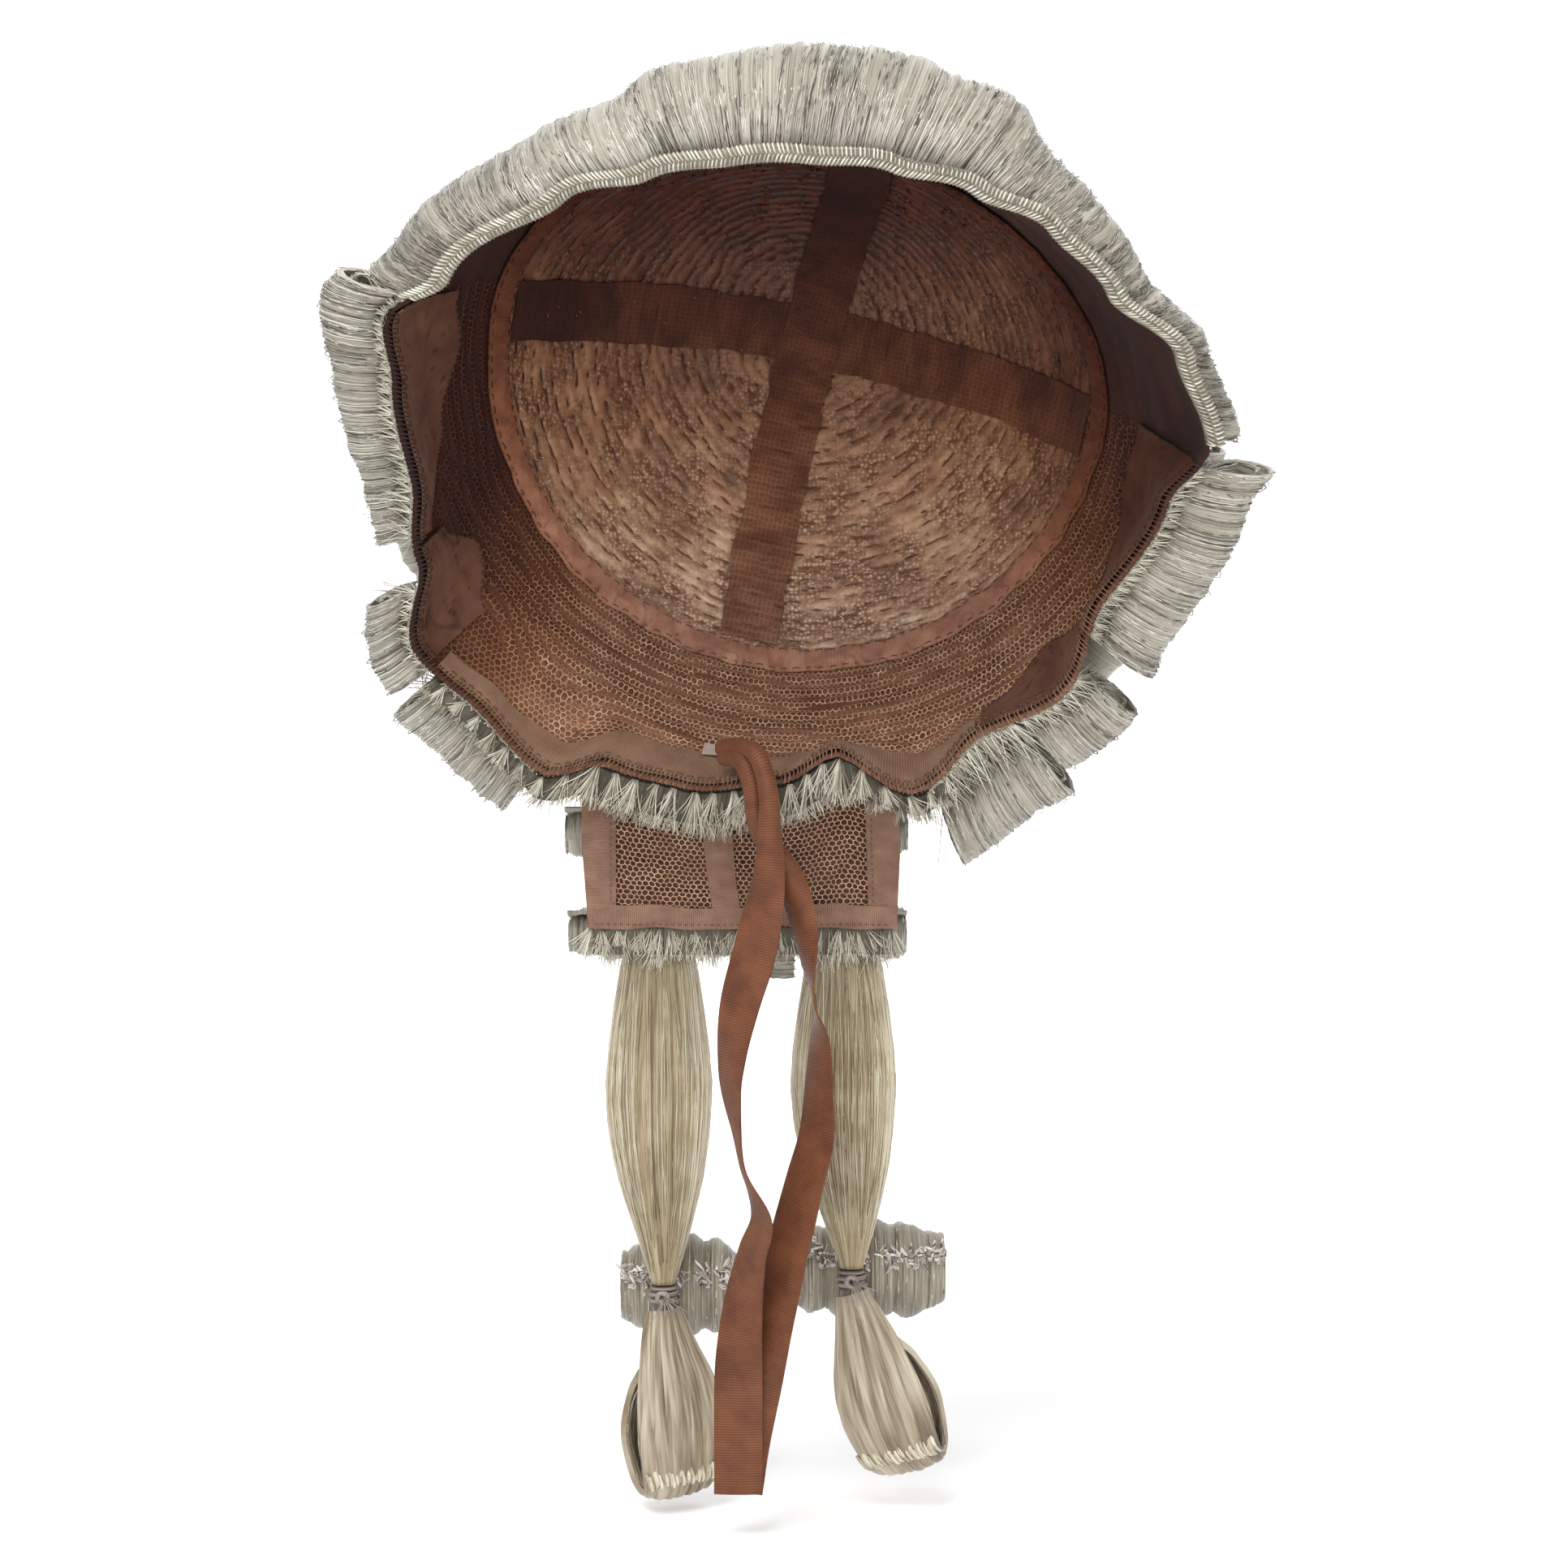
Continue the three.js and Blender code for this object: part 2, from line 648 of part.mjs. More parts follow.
function makeLabel() {
  const label = piece(
    cap,
    "size_label",
    "label",
    new THREE.BoxGeometry(LABEL_WIDTH, LABEL_HEIGHT, LABEL_THICKNESS),
  );
  const rise = NAPE_TAPE_HIGH + LABEL_ABOVE_TAPE;
  const seat = wallPoint(LABEL_BEARING, rise, -LABEL_SEAT);
  const inward = seat.clone().sub(wallPoint(LABEL_BEARING, rise, NET_WALL)).normalize();
  const up = wallPoint(LABEL_BEARING, rise + 1, 0).sub(wallPoint(LABEL_BEARING, rise, 0));
  const across = up.cross(inward).normalize();
  const basis = new THREE.Matrix4().makeBasis(across, inward.clone().cross(across), inward);
  label.position.copy(seat);
  label.quaternion.setFromRotationMatrix(basis);
}

// A hollow roll: rings of its wall's section go round it, along the stations of its axis.
// Where it stands off what carries it, its root reaches back to that.
function rollGeometry(stations) {
  const rings = [];
  for (let side = 0; side < ROLL_SIDES; side += 1) {
    const angle = (2 * Math.PI * side) / ROLL_SIDES;
    const at = ({ centre, out, up }, reach) =>
      centre
        .clone()
        .addScaledVector(out, reach * Math.cos(angle))
        .addScaledVector(up, reach * Math.sin(angle));
    const isRoot = side === ROLL_SIDES / 2;
    const outer = stations.map((roll) => at(roll, roll.radius + (isRoot ? roll.stand : 0)));
    const bore = stations.map((roll) => at(roll, Math.max(roll.radius - ROLL_WALL, roll.radius / 2)));
    rings.push([...outer, ...bore.reverse()]);
  }
  return loft(rings, true);
}

// Station of a roll that lies on the cap, its section in the plane of the cap's meridian.
function rollStation(bearing, rise, radius, stand) {
  const offset = NET_WALL + SOFT_CLEARANCE + radius + stand;
  const out = domePoint(bearing, rise, 1).sub(domePoint(bearing, rise, 0)).normalize();
  const angle = radians(bearing);
  const around = new THREE.Vector3(Math.cos(angle), 0, -Math.sin(angle));
  const centre = wallPoint(bearing, rise, offset);
  return { centre, out, up: around.cross(out).normalize(), radius, stand };
}

function makeCapRolls() {
  for (const roll of RIM_ROLLS) {
    const stations = bearingStops(roll.from, roll.to, 2).map((bearing) => {
      const share = (bearing - roll.from) / (roll.to - roll.from);
      const radius = ROLL_RADIUS * mix(roll.size, roll.sizeEnd, share);
      return rollStation(bearing, mix(roll.rise, roll.riseEnd, share), radius, roll.stand);
    });
    piece(cap, roll.name, "hair", rollGeometry(stations));
  }
  const span = (ROLL_TO - ROLL_FROM) / ROLLS_PER_ROW;
  const rows = { middle_roll: MIDDLE_ROW_RISE, upper_roll: UPPER_ROW_RISE };
  for (const [row, rise] of Object.entries(rows)) {
    for (let i = 0; i < ROLLS_PER_ROW; i += 1) {
      const from = ROLL_FROM + i * span + ROLL_GAP / 2;
      const to = from + span - ROLL_GAP;
      const stations = bearingStops(from, to).map((bearing) =>
        rollStation(bearing, rise, ROLL_RADIUS, CLEARANCE),
      );
      piece(cap, `${row}_${i + 1}`, "hair", rollGeometry(stations));
    }
  }
}

// Short locks fused to a backing strip outside the rim at the nape.
function makeNapeFringe() {
  const from = FRINGE_SHAPE[0].bearing;
  const to = FRINGE_SHAPE.at(-1).bearing;
  const near = NET_WALL + SOFT_CLEARANCE;
  const far = near + FRINGE_BACKING;
  const rings = [];
  for (let stop = 0; stop <= 2 * FRINGE_LOCKS; stop += 1) {
    const bearing = mix(from, to, stop / (2 * FRINGE_LOCKS));
    const share = lookUp(FRINGE_SHAPE, "bearing", "share", bearing);
    const length = FRINGE_LENGTH * share * (stop % 2 ? 1 : LOCK_NOTCH);
    const out = domePoint(bearing, 0, 1).sub(domePoint(bearing, 0, 0));
    const tip = wallPoint(bearing, FRINGE_LOW, near).addScaledVector(out, length * FRINGE_OUT);
    tip.y -= length * FRINGE_DROP;
    const tipBack = tip.clone();
    tipBack.y += FRINGE_BACKING / 2;
    rings.push([
      wallPoint(bearing, FRINGE_LOW, near),
      wallPoint(bearing, FRINGE_HIGH, near),
      wallPoint(bearing, FRINGE_HIGH, far),
      tipBack,
      tip,
    ]);
  }
  piece(cap, "nape_fringe", "hair", loft(rings));
}

// Point of the hanging flap: across 0 to 1 from -X, down 0 to 1, depth behind its middle.
function flapPoint(across, down, depth) {
  const bearing = mix(FLAP_LEFT_BEARING, FLAP_RIGHT_BEARING, across);
  const top = hangingPoint(bearing, FLAP_RISE, NET_WALL + SOFT_CLEARANCE + CLEARANCE);
  const x = mix(top.x, FLAP_LEFT + FLAP_WIDTH * across, down);
  const y = mix(top.y, FLAP_Y, smooth(down, 0, 0.5));
  const z = mix(top.z, FLAP_BOTTOM, down);
  return new THREE.Vector3(x, y + depth, z);
}

// A strip of the flap between shares of its width and height, and between two depths.
function flapStrip(left, right, top, bottom, near, far, across, rows) {
  const rings = [];
  for (let i = 0; i <= across; i += 1) {
    const at = mix(left, right, i / across);
    const face = (depth) =>
      Array.from({ length: rows + 1 }, (_, j) => flapPoint(at, mix(top, bottom, j / rows), depth));
    rings.push([...face(near), ...face(far).reverse()]);
  }
  return loft(rings);
}

function makeFlap() {
  const face = FLAP_THICKNESS / 2;
  const near = -face - CLEARANCE - TAPE_THICKNESS;
  const far = -face - CLEARANCE;
  const side = 1 / FLAP_COLUMNS;
  const edge = CLEARANCE / FLAP_WIDTH;
  const top = 1 / FLAP_ROWS;
  const hem = 1 - top;
  const middle = FLAP_MIDDLE_TAPE_COLUMN * side;
  const net = flapStrip(0, 1, 0, 1, -face, face, FLAP_COLUMNS, FLAP_ROWS);
  piece(hanging, "flap_net", "net", net);
  const strips = {
    flap_tape_left: [0, side, top, 1, 1, FLAP_ROWS - 1],
    flap_tape_right: [1 - side, 1, top, 1, 1, FLAP_ROWS - 1],
    flap_tape_middle: [middle, middle + side, top, hem - edge, 1, FLAP_ROWS - 2],
    flap_tape_hem: [side + edge, 1 - side - edge, hem, 1, FLAP_COLUMNS - 2, 1],
  };
  for (const [name, [left, right, high, low, across, rows]] of Object.entries(strips)) {
    const strip = flapStrip(left, right, high, low, near, far, across, rows);
    piece(hanging, name, "tape", strip);
  }
}

// Locks fused to a strip behind the flap's lower edge.
function makeFlapFringe() {
  const near = FLAP_Y + FLAP_THICKNESS / 2 + CLEARANCE;
  const far = near + FLAP_FRINGE_BACKING;
  const left = FLAP_LEFT + FLAP_FRINGE_INSET;
  const right = FLAP_LEFT + FLAP_WIDTH - FLAP_FRINGE_INSET;
  const stops = 2 * FLAP_FRINGE_LOCKS;
  const rings = [];
  for (let stop = 0; stop <= stops; stop += 1) {
    const x = mix(left, right, stop / stops);
    const tip = FLAP_BOTTOM - FLAP_FRINGE_LENGTH * (stop % 2 ? 1 : LOCK_NOTCH);
    rings.push([
      new THREE.Vector3(x, near, FLAP_BOTTOM + FLAP_FRINGE_HEIGHT),
      new THREE.Vector3(x, far, FLAP_BOTTOM + FLAP_FRINGE_HEIGHT),
      new THREE.Vector3(x, far, FLAP_BOTTOM),
      new THREE.Vector3(x, near + FLAP_FRINGE_BACKING / 2, tip),
      new THREE.Vector3(x, near, tip),
    ]);
  }
  piece(hanging, "flap_fringe", "hair", loft(rings));
}

// Straight roll between two points, whose section lies in the plane of out and up.
function straightRoll(name, from, to, out, up, radius) {
  const stations = [from, to].map((centre) => ({ centre, out, up, radius, stand: 0 }));
  piece(hanging, name, "hair", rollGeometry(stations));
}

function makeFlapRolls() {
  const y = new THREE.Vector3(0, 1, 0);
  const z = new THREE.Vector3(0, 0, 1);
  const x = new THREE.Vector3(1, 0, 0);
  const back = FLAP_Y + FLAP_THICKNESS / 2 + CLEARANCE;
  const upperY = back + CLEARANCE + FLAP_ROLL_RADIUS;
  const lowerY = TAIL_Y + FLAP_ROLL_RADIUS + FLAP_LOWER_ROLL_BACK;
  const upperZ = FLAP_BOTTOM + FLAP_UPPER_ROLL;
  const lowerZ = FLAP_BOTTOM + FLAP_LOWER_ROLL;
  const curlX = FLAP_LEFT + FLAP_WIDTH - FLAP_CURL_FROM_RIGHT;
  const left = FLAP_LEFT - FLAP_ROLLS_PAST_LEFT;
  const right = FLAP_LEFT + FLAP_WIDTH + FLAP_ROLLS_PAST_RIGHT;
  const stop = FLAP_CURL_RADIUS + FLAP_CURL_GAP;
  const rows = { upper: [upperY, upperZ], lower: [lowerY, lowerZ] };
  for (const [row, [rowY, rowZ]] of Object.entries(rows)) {
    const at = (px) => new THREE.Vector3(px, rowY, rowZ);
    straightRoll(`flap_roll_${row}_left`, at(left), at(curlX - stop), y, z, FLAP_ROLL_RADIUS);
    straightRoll(`flap_roll_${row}_right`, at(curlX + stop), at(right), y, z, FLAP_ROLL_RADIUS);
  }
  const curlY = back + FLAP_FRINGE_BACKING + CLEARANCE + FLAP_CURL_RADIUS;
  const curlTop = new THREE.Vector3(curlX, curlY, upperZ + FLAP_ROLL_RADIUS / 2);
  const curlEnd = new THREE.Vector3(curlX, curlY, FLAP_BOTTOM - FLAP_CURL_DROP);
  straightRoll("flap_curl", curlTop, curlEnd, x, y, FLAP_CURL_RADIUS);
}

// Ring of an oval bundle lying across the tail.
function bundleRing(x, y, z, halfWidth, halfDepth) {
  return Array.from({ length: BUNDLE_SIDES }, (_, side) => {
    const angle = (2 * Math.PI * side) / BUNDLE_SIDES;
    const px = x + halfWidth * Math.cos(angle);
    return new THREE.Vector3(px, y + halfDepth * Math.sin(angle), z);
  });
}

function makeTail(tail) {
  const length = TAIL_LENGTH * tail.length;
  const tailTop = FLAP_BOTTOM - TAIL_TOP_GAP;
  const front = FLAP_Y + FLAP_THICKNESS / 2 + 2 * CLEARANCE + FLAP_FRINGE_BACKING;
  const rings = TAIL_SECTIONS.map(({ along, width, depth }) => {
    const x = mix(tail.x, tail.tieX, smooth(along, 0.5, 1));
    const halfDepth = (TAIL_WIDTH * depth) / 2;
    const y = Math.max(TAIL_Y, front + halfDepth);
    const z = tailTop - length * along;
    return bundleRing(x, along ? y : front + halfDepth, z, (TAIL_WIDTH * width) / 2, halfDepth);
  });
  piece(hanging, `tail_${tail.side}`, "tail", loft(rings));
  makeTie(tail, tailTop - length - CLEARANCE);
}

// Knotted thread that pinches the tail, with the loop and the curl below and behind it.
function makeTie(tail, top) {
  const profile = [
    new THREE.Vector2(0, 0),
    new THREE.Vector2(TIE_RADIUS * TIE_END, 0),
    new THREE.Vector2(TIE_RADIUS, TIE_HEIGHT / 2),
    new THREE.Vector2(TIE_RADIUS * TIE_END, TIE_HEIGHT),
    new THREE.Vector2(0, TIE_HEIGHT),
  ];
  const knot = new THREE.LatheGeometry(profile, BUNDLE_SIDES);
  knot.deleteAttribute("uv");
  knot.deleteAttribute("normal");
  knot.rotateX(Math.PI / 2);
  knot.translate(tail.tieX, TAIL_Y, top - TIE_HEIGHT);
  piece(hanging, `tail_tie_${tail.side}`, "hair", closeUp(knot));
  makeLoop(tail, top - TIE_HEIGHT - CLEARANCE);
  makeEndCurl(tail, top - TIE_HEIGHT / 2);
}

// Band of hair that drops, turns under and comes up behind, open at both sides.
function makeLoop(tail, top) {
  const half = LOOP_WALL / 2;
  const path = LOOP_SECTIONS.map(({ drop, depth }) => [LOOP_DEPTH * depth, -LOOP_LENGTH * drop]);
  const rings = LOOP_SECTIONS.map(({ width }, i) => {
    const [y, z] = path[i];
    const [beforeY, beforeZ] = path[Math.max(i - 1, 0)];
    const [afterY, afterZ] = path[Math.min(i + 1, path.length - 1)];
    const run = Math.hypot(afterY - beforeY, afterZ - beforeZ);
    const sideY = (half * (afterZ - beforeZ)) / run;
    const sideZ = (-half * (afterY - beforeY)) / run;
    const wide = (LOOP_WIDTH * width) / 2;
    return [
      new THREE.Vector3(-wide, y + sideY, z + sideZ),
      new THREE.Vector3(wide, y + sideY, z + sideZ),
      new THREE.Vector3(wide, y - sideY, z - sideZ),
      new THREE.Vector3(-wide, y - sideY, z - sideZ),
    ];
  });
  const loop = piece(hanging, `tail_loop_${tail.side}`, "tail", loft(rings));
  loop.position.set(tail.tieX, TAIL_Y, top);
  loop.rotation.set(0, radians(-tail.lean), radians(tail.turn), "YXZ");
}

function makeEndCurl(tail, middle) {
  const y = TAIL_Y + TIE_RADIUS + CLEARANCE + END_CURL_RADIUS;
  const ends = [tail.curlFrom, tail.curlTo].map((x) => new THREE.Vector3(x, y, middle));
  const out = new THREE.Vector3(0, 1, 0);
  const up = new THREE.Vector3(0, 0, 1);
  straightRoll(`tail_curl_${tail.side}`, ends[0], ends[1], out, up, END_CURL_RADIUS);
}

// A flat strand that follows its route and turns about it.
function makeRibbon([name, route]) {
  const points = route.map(({ x, y, z }) => new THREE.Vector3(x, y, z));
  const rings = route.map(({ turn }, i) => {
    const before = points[Math.max(i - 1, 0)];
    const after = points[Math.min(i + 1, points.length - 1)];
    const line = after.clone().sub(before).normalize();
    const across = new THREE.Vector3(1, 0, 0).projectOnPlane(line).normalize();
    across.applyAxisAngle(line, radians(turn));
    const thick = line.clone().cross(across).multiplyScalar(RIBBON_THICKNESS / 2);
    across.multiplyScalar(RIBBON_WIDTH / 2);
    const corner = (a, b) =>
      points[i].clone().addScaledVector(across, a).addScaledVector(thick, b);
    return [corner(-1, -1), corner(1, -1), corner(1, 1), corner(-1, 1)];
  });
  piece(hanging, name, "ribbon", loft(rings));
}

makeNetCap();
makeCrownHair();
makeFrontHair();
makeFrontBraid();
makeRingTape();
makeCrossBand("cross_band_long", LONG_BAND_BROW, LONG_BAND_NAPE, 1);
makeCrossBand("cross_band_side", SIDE_BAND, SIDE_BAND, 0);
makeFacings();
makeNapeTape();
makeLabel();
makeCapRolls();
makeNapeFringe();
makeFlap();
makeFlapFringe();
makeFlapRolls();
TAILS.forEach(makeTail);
Object.entries(RIBBONS).forEach(makeRibbon);

export default wig;
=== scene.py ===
"""A barrister's wig held up by its crown: rolled and frizzed pale hair on a brown net cap.

Lengths are millimetres until a mesh is made. Bearings are degrees about the cap's own axis, 0 at the
brow, and rises are degrees from the rim to the crown.
"""
import math

import bpy
import numpy as np
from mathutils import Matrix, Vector


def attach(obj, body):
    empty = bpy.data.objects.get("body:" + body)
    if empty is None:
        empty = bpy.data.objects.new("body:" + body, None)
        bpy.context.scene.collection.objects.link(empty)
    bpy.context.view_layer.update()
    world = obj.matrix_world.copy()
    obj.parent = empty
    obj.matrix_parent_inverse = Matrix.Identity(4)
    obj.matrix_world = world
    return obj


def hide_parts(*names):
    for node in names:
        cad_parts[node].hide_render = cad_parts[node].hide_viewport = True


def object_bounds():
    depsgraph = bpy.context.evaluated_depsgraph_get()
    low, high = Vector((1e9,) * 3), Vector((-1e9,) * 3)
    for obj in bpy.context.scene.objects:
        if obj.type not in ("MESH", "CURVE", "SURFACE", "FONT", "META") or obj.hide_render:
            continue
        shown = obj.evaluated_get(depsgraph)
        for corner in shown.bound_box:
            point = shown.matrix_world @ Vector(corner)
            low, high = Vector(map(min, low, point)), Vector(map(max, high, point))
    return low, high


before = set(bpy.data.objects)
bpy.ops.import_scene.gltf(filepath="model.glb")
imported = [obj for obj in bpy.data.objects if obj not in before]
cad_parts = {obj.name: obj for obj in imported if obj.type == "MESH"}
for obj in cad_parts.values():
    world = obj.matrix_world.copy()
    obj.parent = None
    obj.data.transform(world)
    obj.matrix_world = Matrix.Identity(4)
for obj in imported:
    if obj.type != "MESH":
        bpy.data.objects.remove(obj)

cad_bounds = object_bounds()

MM = 0.001

# Cap, as the solids have it.
CAP_PITCH = 20
CAP_ROLL = 12.5
CAP_DEPTH = 111
SIDE_REACH = 92
BROW_REACH = 62
NAPE_REACH = 91
RIM_FADE = 17
NET_WALL = 1.2
SOFT_CLEARANCE = 0.95
CLEARANCE = 0.3
RIM = [
    (-177, 1.0), (-165, 1.02), (-158, 1.13), (-146, 1.1), (-135, 1.13), (-124, 1.0), (-112, 0.945),
    (-97, 0.97), (-88, 1.01), (-79, 0.89), (-56, 0.755), (-40, 0.675), (-22, 0.64), (-5, 0.64),
    (12, 0.675), (28, 0.735), (42, 0.81), (56, 0.865), (68, 0.99), (81, 1.06), (89, 0.98),
    (108, 0.925), (122, 1.0), (136, 0.955), (148, 1.03), (159, 0.88), (169, 0.95),
]
RIM_ROUND = 560
RISE_STEP = CAP_DEPTH * math.pi / 180

# Hair on the cap.
CROWN_DEPTH = 9
CROWN_EDGE_DEPTH = 6
CROWN_LOW_BROW = 20
CROWN_LOW_SIDE = 30.5
FRONT_LEFT = -83.6
FRONT_RIGHT = 80
FRONT_LIFT = 23.5
FRONT_SWEEP = [
    (-84, 0.58), (-60, 0.5), (-46, 0.62), (-30, 0.88), (0, 1.0), (22, 0.92), (40, 0.5), (60, 0.36),
    (80, 0.42),
]
FRONT_SECTION = [(0.0, 0.2), (0.05, 0.6), (0.16, 0.92), (0.34, 1.0), (0.6, 0.8)]
BRAID_WIDTH = 4.4
BRAID_HEIGHT = 3
ROLL_RADIUS = 8
ROLL_WALL = 3.5
RIM_ROLLS = [
    # name, from, to, rise, rise at the end, stand, size, size at the end
    ("rim_roll_1", -84, -121, 3, 8, 0, 1.1, 0.8),
    ("rim_roll_2", -127.5, -138, 5, 5, 2, 0.95, 0.95),
    ("rim_roll_3", -140.5, -157, 7, 7, 8, 1.1, 1.05),
    ("rim_roll_4", 146.5, 131, 7, 7, 8, 1.25, 1.2),
    ("rim_roll_5", 129.5, 118.5, 6, 6, 3, 1.05, 1.05),
    ("rim_roll_6", 113, 84, 4, 4, 0.5, 1.15, 1.15),
]
ROW_RISES = {"middle_roll": 16.4, "upper_roll": 24.8}
ROLL_FROM = 84
ROLL_TO = 276
ROLLS_PER_ROW = 7
ROLL_GAP = 2
FRINGE_LENGTH = 10
FRINGE_SHAPE = [(143, 0.45), (150, 0.6), (157, 1.0), (198, 1.0), (203, 0.55), (221, 0.45)]

# Lining.
RING_TAPE_LOW = 31.2
RING_TAPE_HIGH = 35.2
BAND_WIDTH = 16
SIDE_BAND = 89
LONG_BAND_BROW = 5
LONG_BAND_NAPE = -1
NAPE_TAPE_LEFT = 222
NAPE_TAPE_RIGHT = 136
NAPE_TAPE_LOW = 0.8
NAPE_TAPE_HIGH = [(136, 5.2), (152, 9.0), (190, 9.0), (202, 5.8), (212, 4.6), (222, 4.2)]
FACINGS = {
    "temple_facing_left": [(-86, 21), (-95, 24), (-108, 18), (-121, 6)],
    "ear_facing_left": [(-122, 10), (-128, 17), (-137, 12)],
    "temple_facing_right": [(83, 21), (92, 23), (103, 17), (113, 9)],
    "ear_facing_right": [(114, 11), (122, 15), (135, 8)],
}

# Hanging flap, tails and ribbon, measured from the middle of the nape.
FLAP_LEFT = -28.8
FLAP_WIDTH = 76
FLAP_BOTTOM = -35
FLAP_Y = 11.5
FLAP_RISE = 5.6
FLAP_LEFT_BEARING = 198.5
FLAP_RIGHT_BEARING = 151
FLAP_ROLL_RADIUS = 7.5
FLAP_TAPE = 6.9
TAIL_Y = 19
TAIL_LENGTH = 88
TAIL_WIDTH = 27
TAIL_SECTIONS = [
    # share of the length, width, depth
    (0.0, 0.6, 0.24), (0.12, 0.76, 0.32), (0.25, 0.88, 0.38), (0.45, 1.0, 0.42), (0.66, 0.86, 0.4),
    (0.84, 0.55, 0.36), (1.0, 0.24, 0.22),
]
TAILS = {
    "left": {"x": -11.8, "tie": -10.6, "turn": 28, "lean": 4.5, "curl": (-21.7, 7.3), "length": 1},
    "right": {"x": 34.2, "tie": 36.2, "turn": -20, "lean": 19, "curl": (21.3, 59.8), "length": 0.955},
}
TIE_RADIUS = 4
TIE_HEIGHT = 5
LOOP_LENGTH = 46
LOOP_DEPTH = 13
LOOP_WIDTH = 23
LOOP_SECTIONS = [
    # drop, depth, width
    (0.02, 0.0, 0.3), (0.2, -0.1, 0.56), (0.42, -0.32, 0.86), (0.66, -0.42, 1.0), (0.88, -0.28, 0.9),
    (0.98, 0.02, 0.8), (0.9, 0.34, 0.84), (0.68, 0.48, 0.92), (0.46, 0.42, 0.72), (0.34, 0.26, 0.5),
]
END_CURL_RADIUS = 12
RIBBON_WIDTH = 11.5
RIBBON_THICKNESS = 0.5
RIBBON_FOLD = 64
RIBBONS = {
    # x, y, z, turn of the ribbon about its own line
    "ribbon_front": [
        (4.4, 3, 7.2, 0), (9.2, -3, 7.6, 2), (13.8, -8, 5.2, 6), (16.2, -9.8, -3, 12),
        (16.8, -10, -14.8, 36), (15.3, -10, -26.5, 34), (12.4, -9.8, -40.2, 28),
        (9.1, -9.6, -51.9, 36), (7.1, -9.4, -64.6, 55), (7.1, -9.2, -74.4, 68),
        (9.8, -9, -90.6, 84), (14.3, -8.8, -103.1, 66), (12, -8.6, -111.8, 56),
        (10, -8.4, -123.2, 39), (9, -8.2, -132.9, 24), (8.5, -8, -144.8, 4), (8.5, -8, -169.2, 0),
    ],
    "ribbon_rear": [
        (5, 2.4, 5.4, 0), (9, -3.2, 4.8, 4), (11.8, -6, 0.5, 8), (14, -6.4, -9.9, 20),
        (19.6, -6.4, -17.8, 30), (22.8, -6.4, -25.6, 45), (24.9, -6.4, -35.3, 60),
        (25.7, -6.3, -44.1, 78), (27.2, -6.2, -52, 92), (28.2, -6.1, -60.8, 68),
        (28, -6, -73.3, 56), (27.4, -6, -84.3, 46), (24.5, -5.9, -95.2, 40),
        (21.4, -5.8, -107.7, 34), (18.6, -5.7, -119.5, 30), (15.9, -5.6, -131.2, 22),
        (13.3, -5.6, -143, 6), (10.4, -5.6, -156.7, 0), (8.5, -5.6, -169.2, 0),
    ],
}

# Camera, from the photo's perspective.
CAMERA_PLACE = (-7.4, -725, -120.4)
CAMERA_LENS = 61.81
FLOOR_DROP = 3


# Measures and forms

def ease(low, high, value):
    share = np.clip((np.asarray(value, float) - low) / (high - low), 0, 1)
    return share * share * (3 - 2 * share)


def mix(start, end, share):
    return start + (end - start) * share


def look_up(table, at):
    """Eased value between the rows of a table of places and values."""
    places, values = np.array(sorted(table), float).T
    at = np.clip(at, places[0], places[-1])
    row = np.clip(np.searchsorted(places, at, side="right") - 1, 0, len(places) - 2)
    share = ease(0, 1, (at - places[row]) / (places[row + 1] - places[row]))
    return mix(values[row], values[row + 1], share)


def unit(vectors):
    return vectors / (np.linalg.norm(vectors, axis=-1, keepdims=True) + 1e-9)


def turn_about(axis, degrees):
    """Matrix of a turn about the X, Y or Z axis."""
    cosine, sine = math.cos(math.radians(degrees)), math.sin(math.radians(degrees))
    first, second = (axis + 1) % 3, (axis + 2) % 3
    matrix = np.eye(3)
    matrix[first, first] = matrix[second, second] = cosine
    matrix[first, second], matrix[second, first] = -sine, sine
    return matrix


CAP_TURN = turn_about(1, CAP_ROLL) @ turn_about(0, CAP_PITCH)


def rim_reach(bearing):
    at = (np.asarray(bearing, float) + 180) % 360 - 180
    at = np.where(at < RIM[0][0], at + 360, at)
    return SIDE_REACH * look_up(RIM + [(RIM[0][0] + 360, RIM[0][1])], at)


def crown_reach(bearing):
    fore = np.cos(np.radians(bearing))
    reach = np.where(fore > 0, BROW_REACH, NAPE_REACH)
    return 1 / np.hypot(fore / reach, np.sin(np.radians(bearing)) / SIDE_REACH)


def fullness(bearing):
    return 2 + np.maximum(0, np.cos(np.radians(bearing))) ** 2


def cap_point(bearing, rise, offset=0.0):
    """Points of the cap's wall, offset outwards from its inner face."""
    bearing, rise, offset = np.broadcast_arrays(*(np.asarray(a, float) for a in (bearing, rise, offset)))
    power = 2 / fullness(bearing)
    reach = mix(rim_reach(bearing), crown_reach(bearing), ease(0, RIM_FADE, rise)) + offset
    climb = np.radians(np.clip(rise, 0, 90))
    radius = reach * np.maximum(np.cos(climb), 0) ** power
    height = (CAP_DEPTH + offset) * np.sin(climb) ** power - CAP_DEPTH
    angle = np.radians(bearing)
    return np.stack([radius * np.sin(angle), height, radius * np.cos(angle)], -1) @ CAP_TURN.T


def cap_out(bearing, rise):
    return unit(cap_point(bearing, rise, 1) - cap_point(bearing, rise, 0))


def down_cap(amount):
    """A step along the cap's axis, out of its mouth."""
    return np.asarray(amount, float)[..., None] * (CAP_TURN @ np.array([0, -1, 0]))


HANG = cap_point(180, 0)


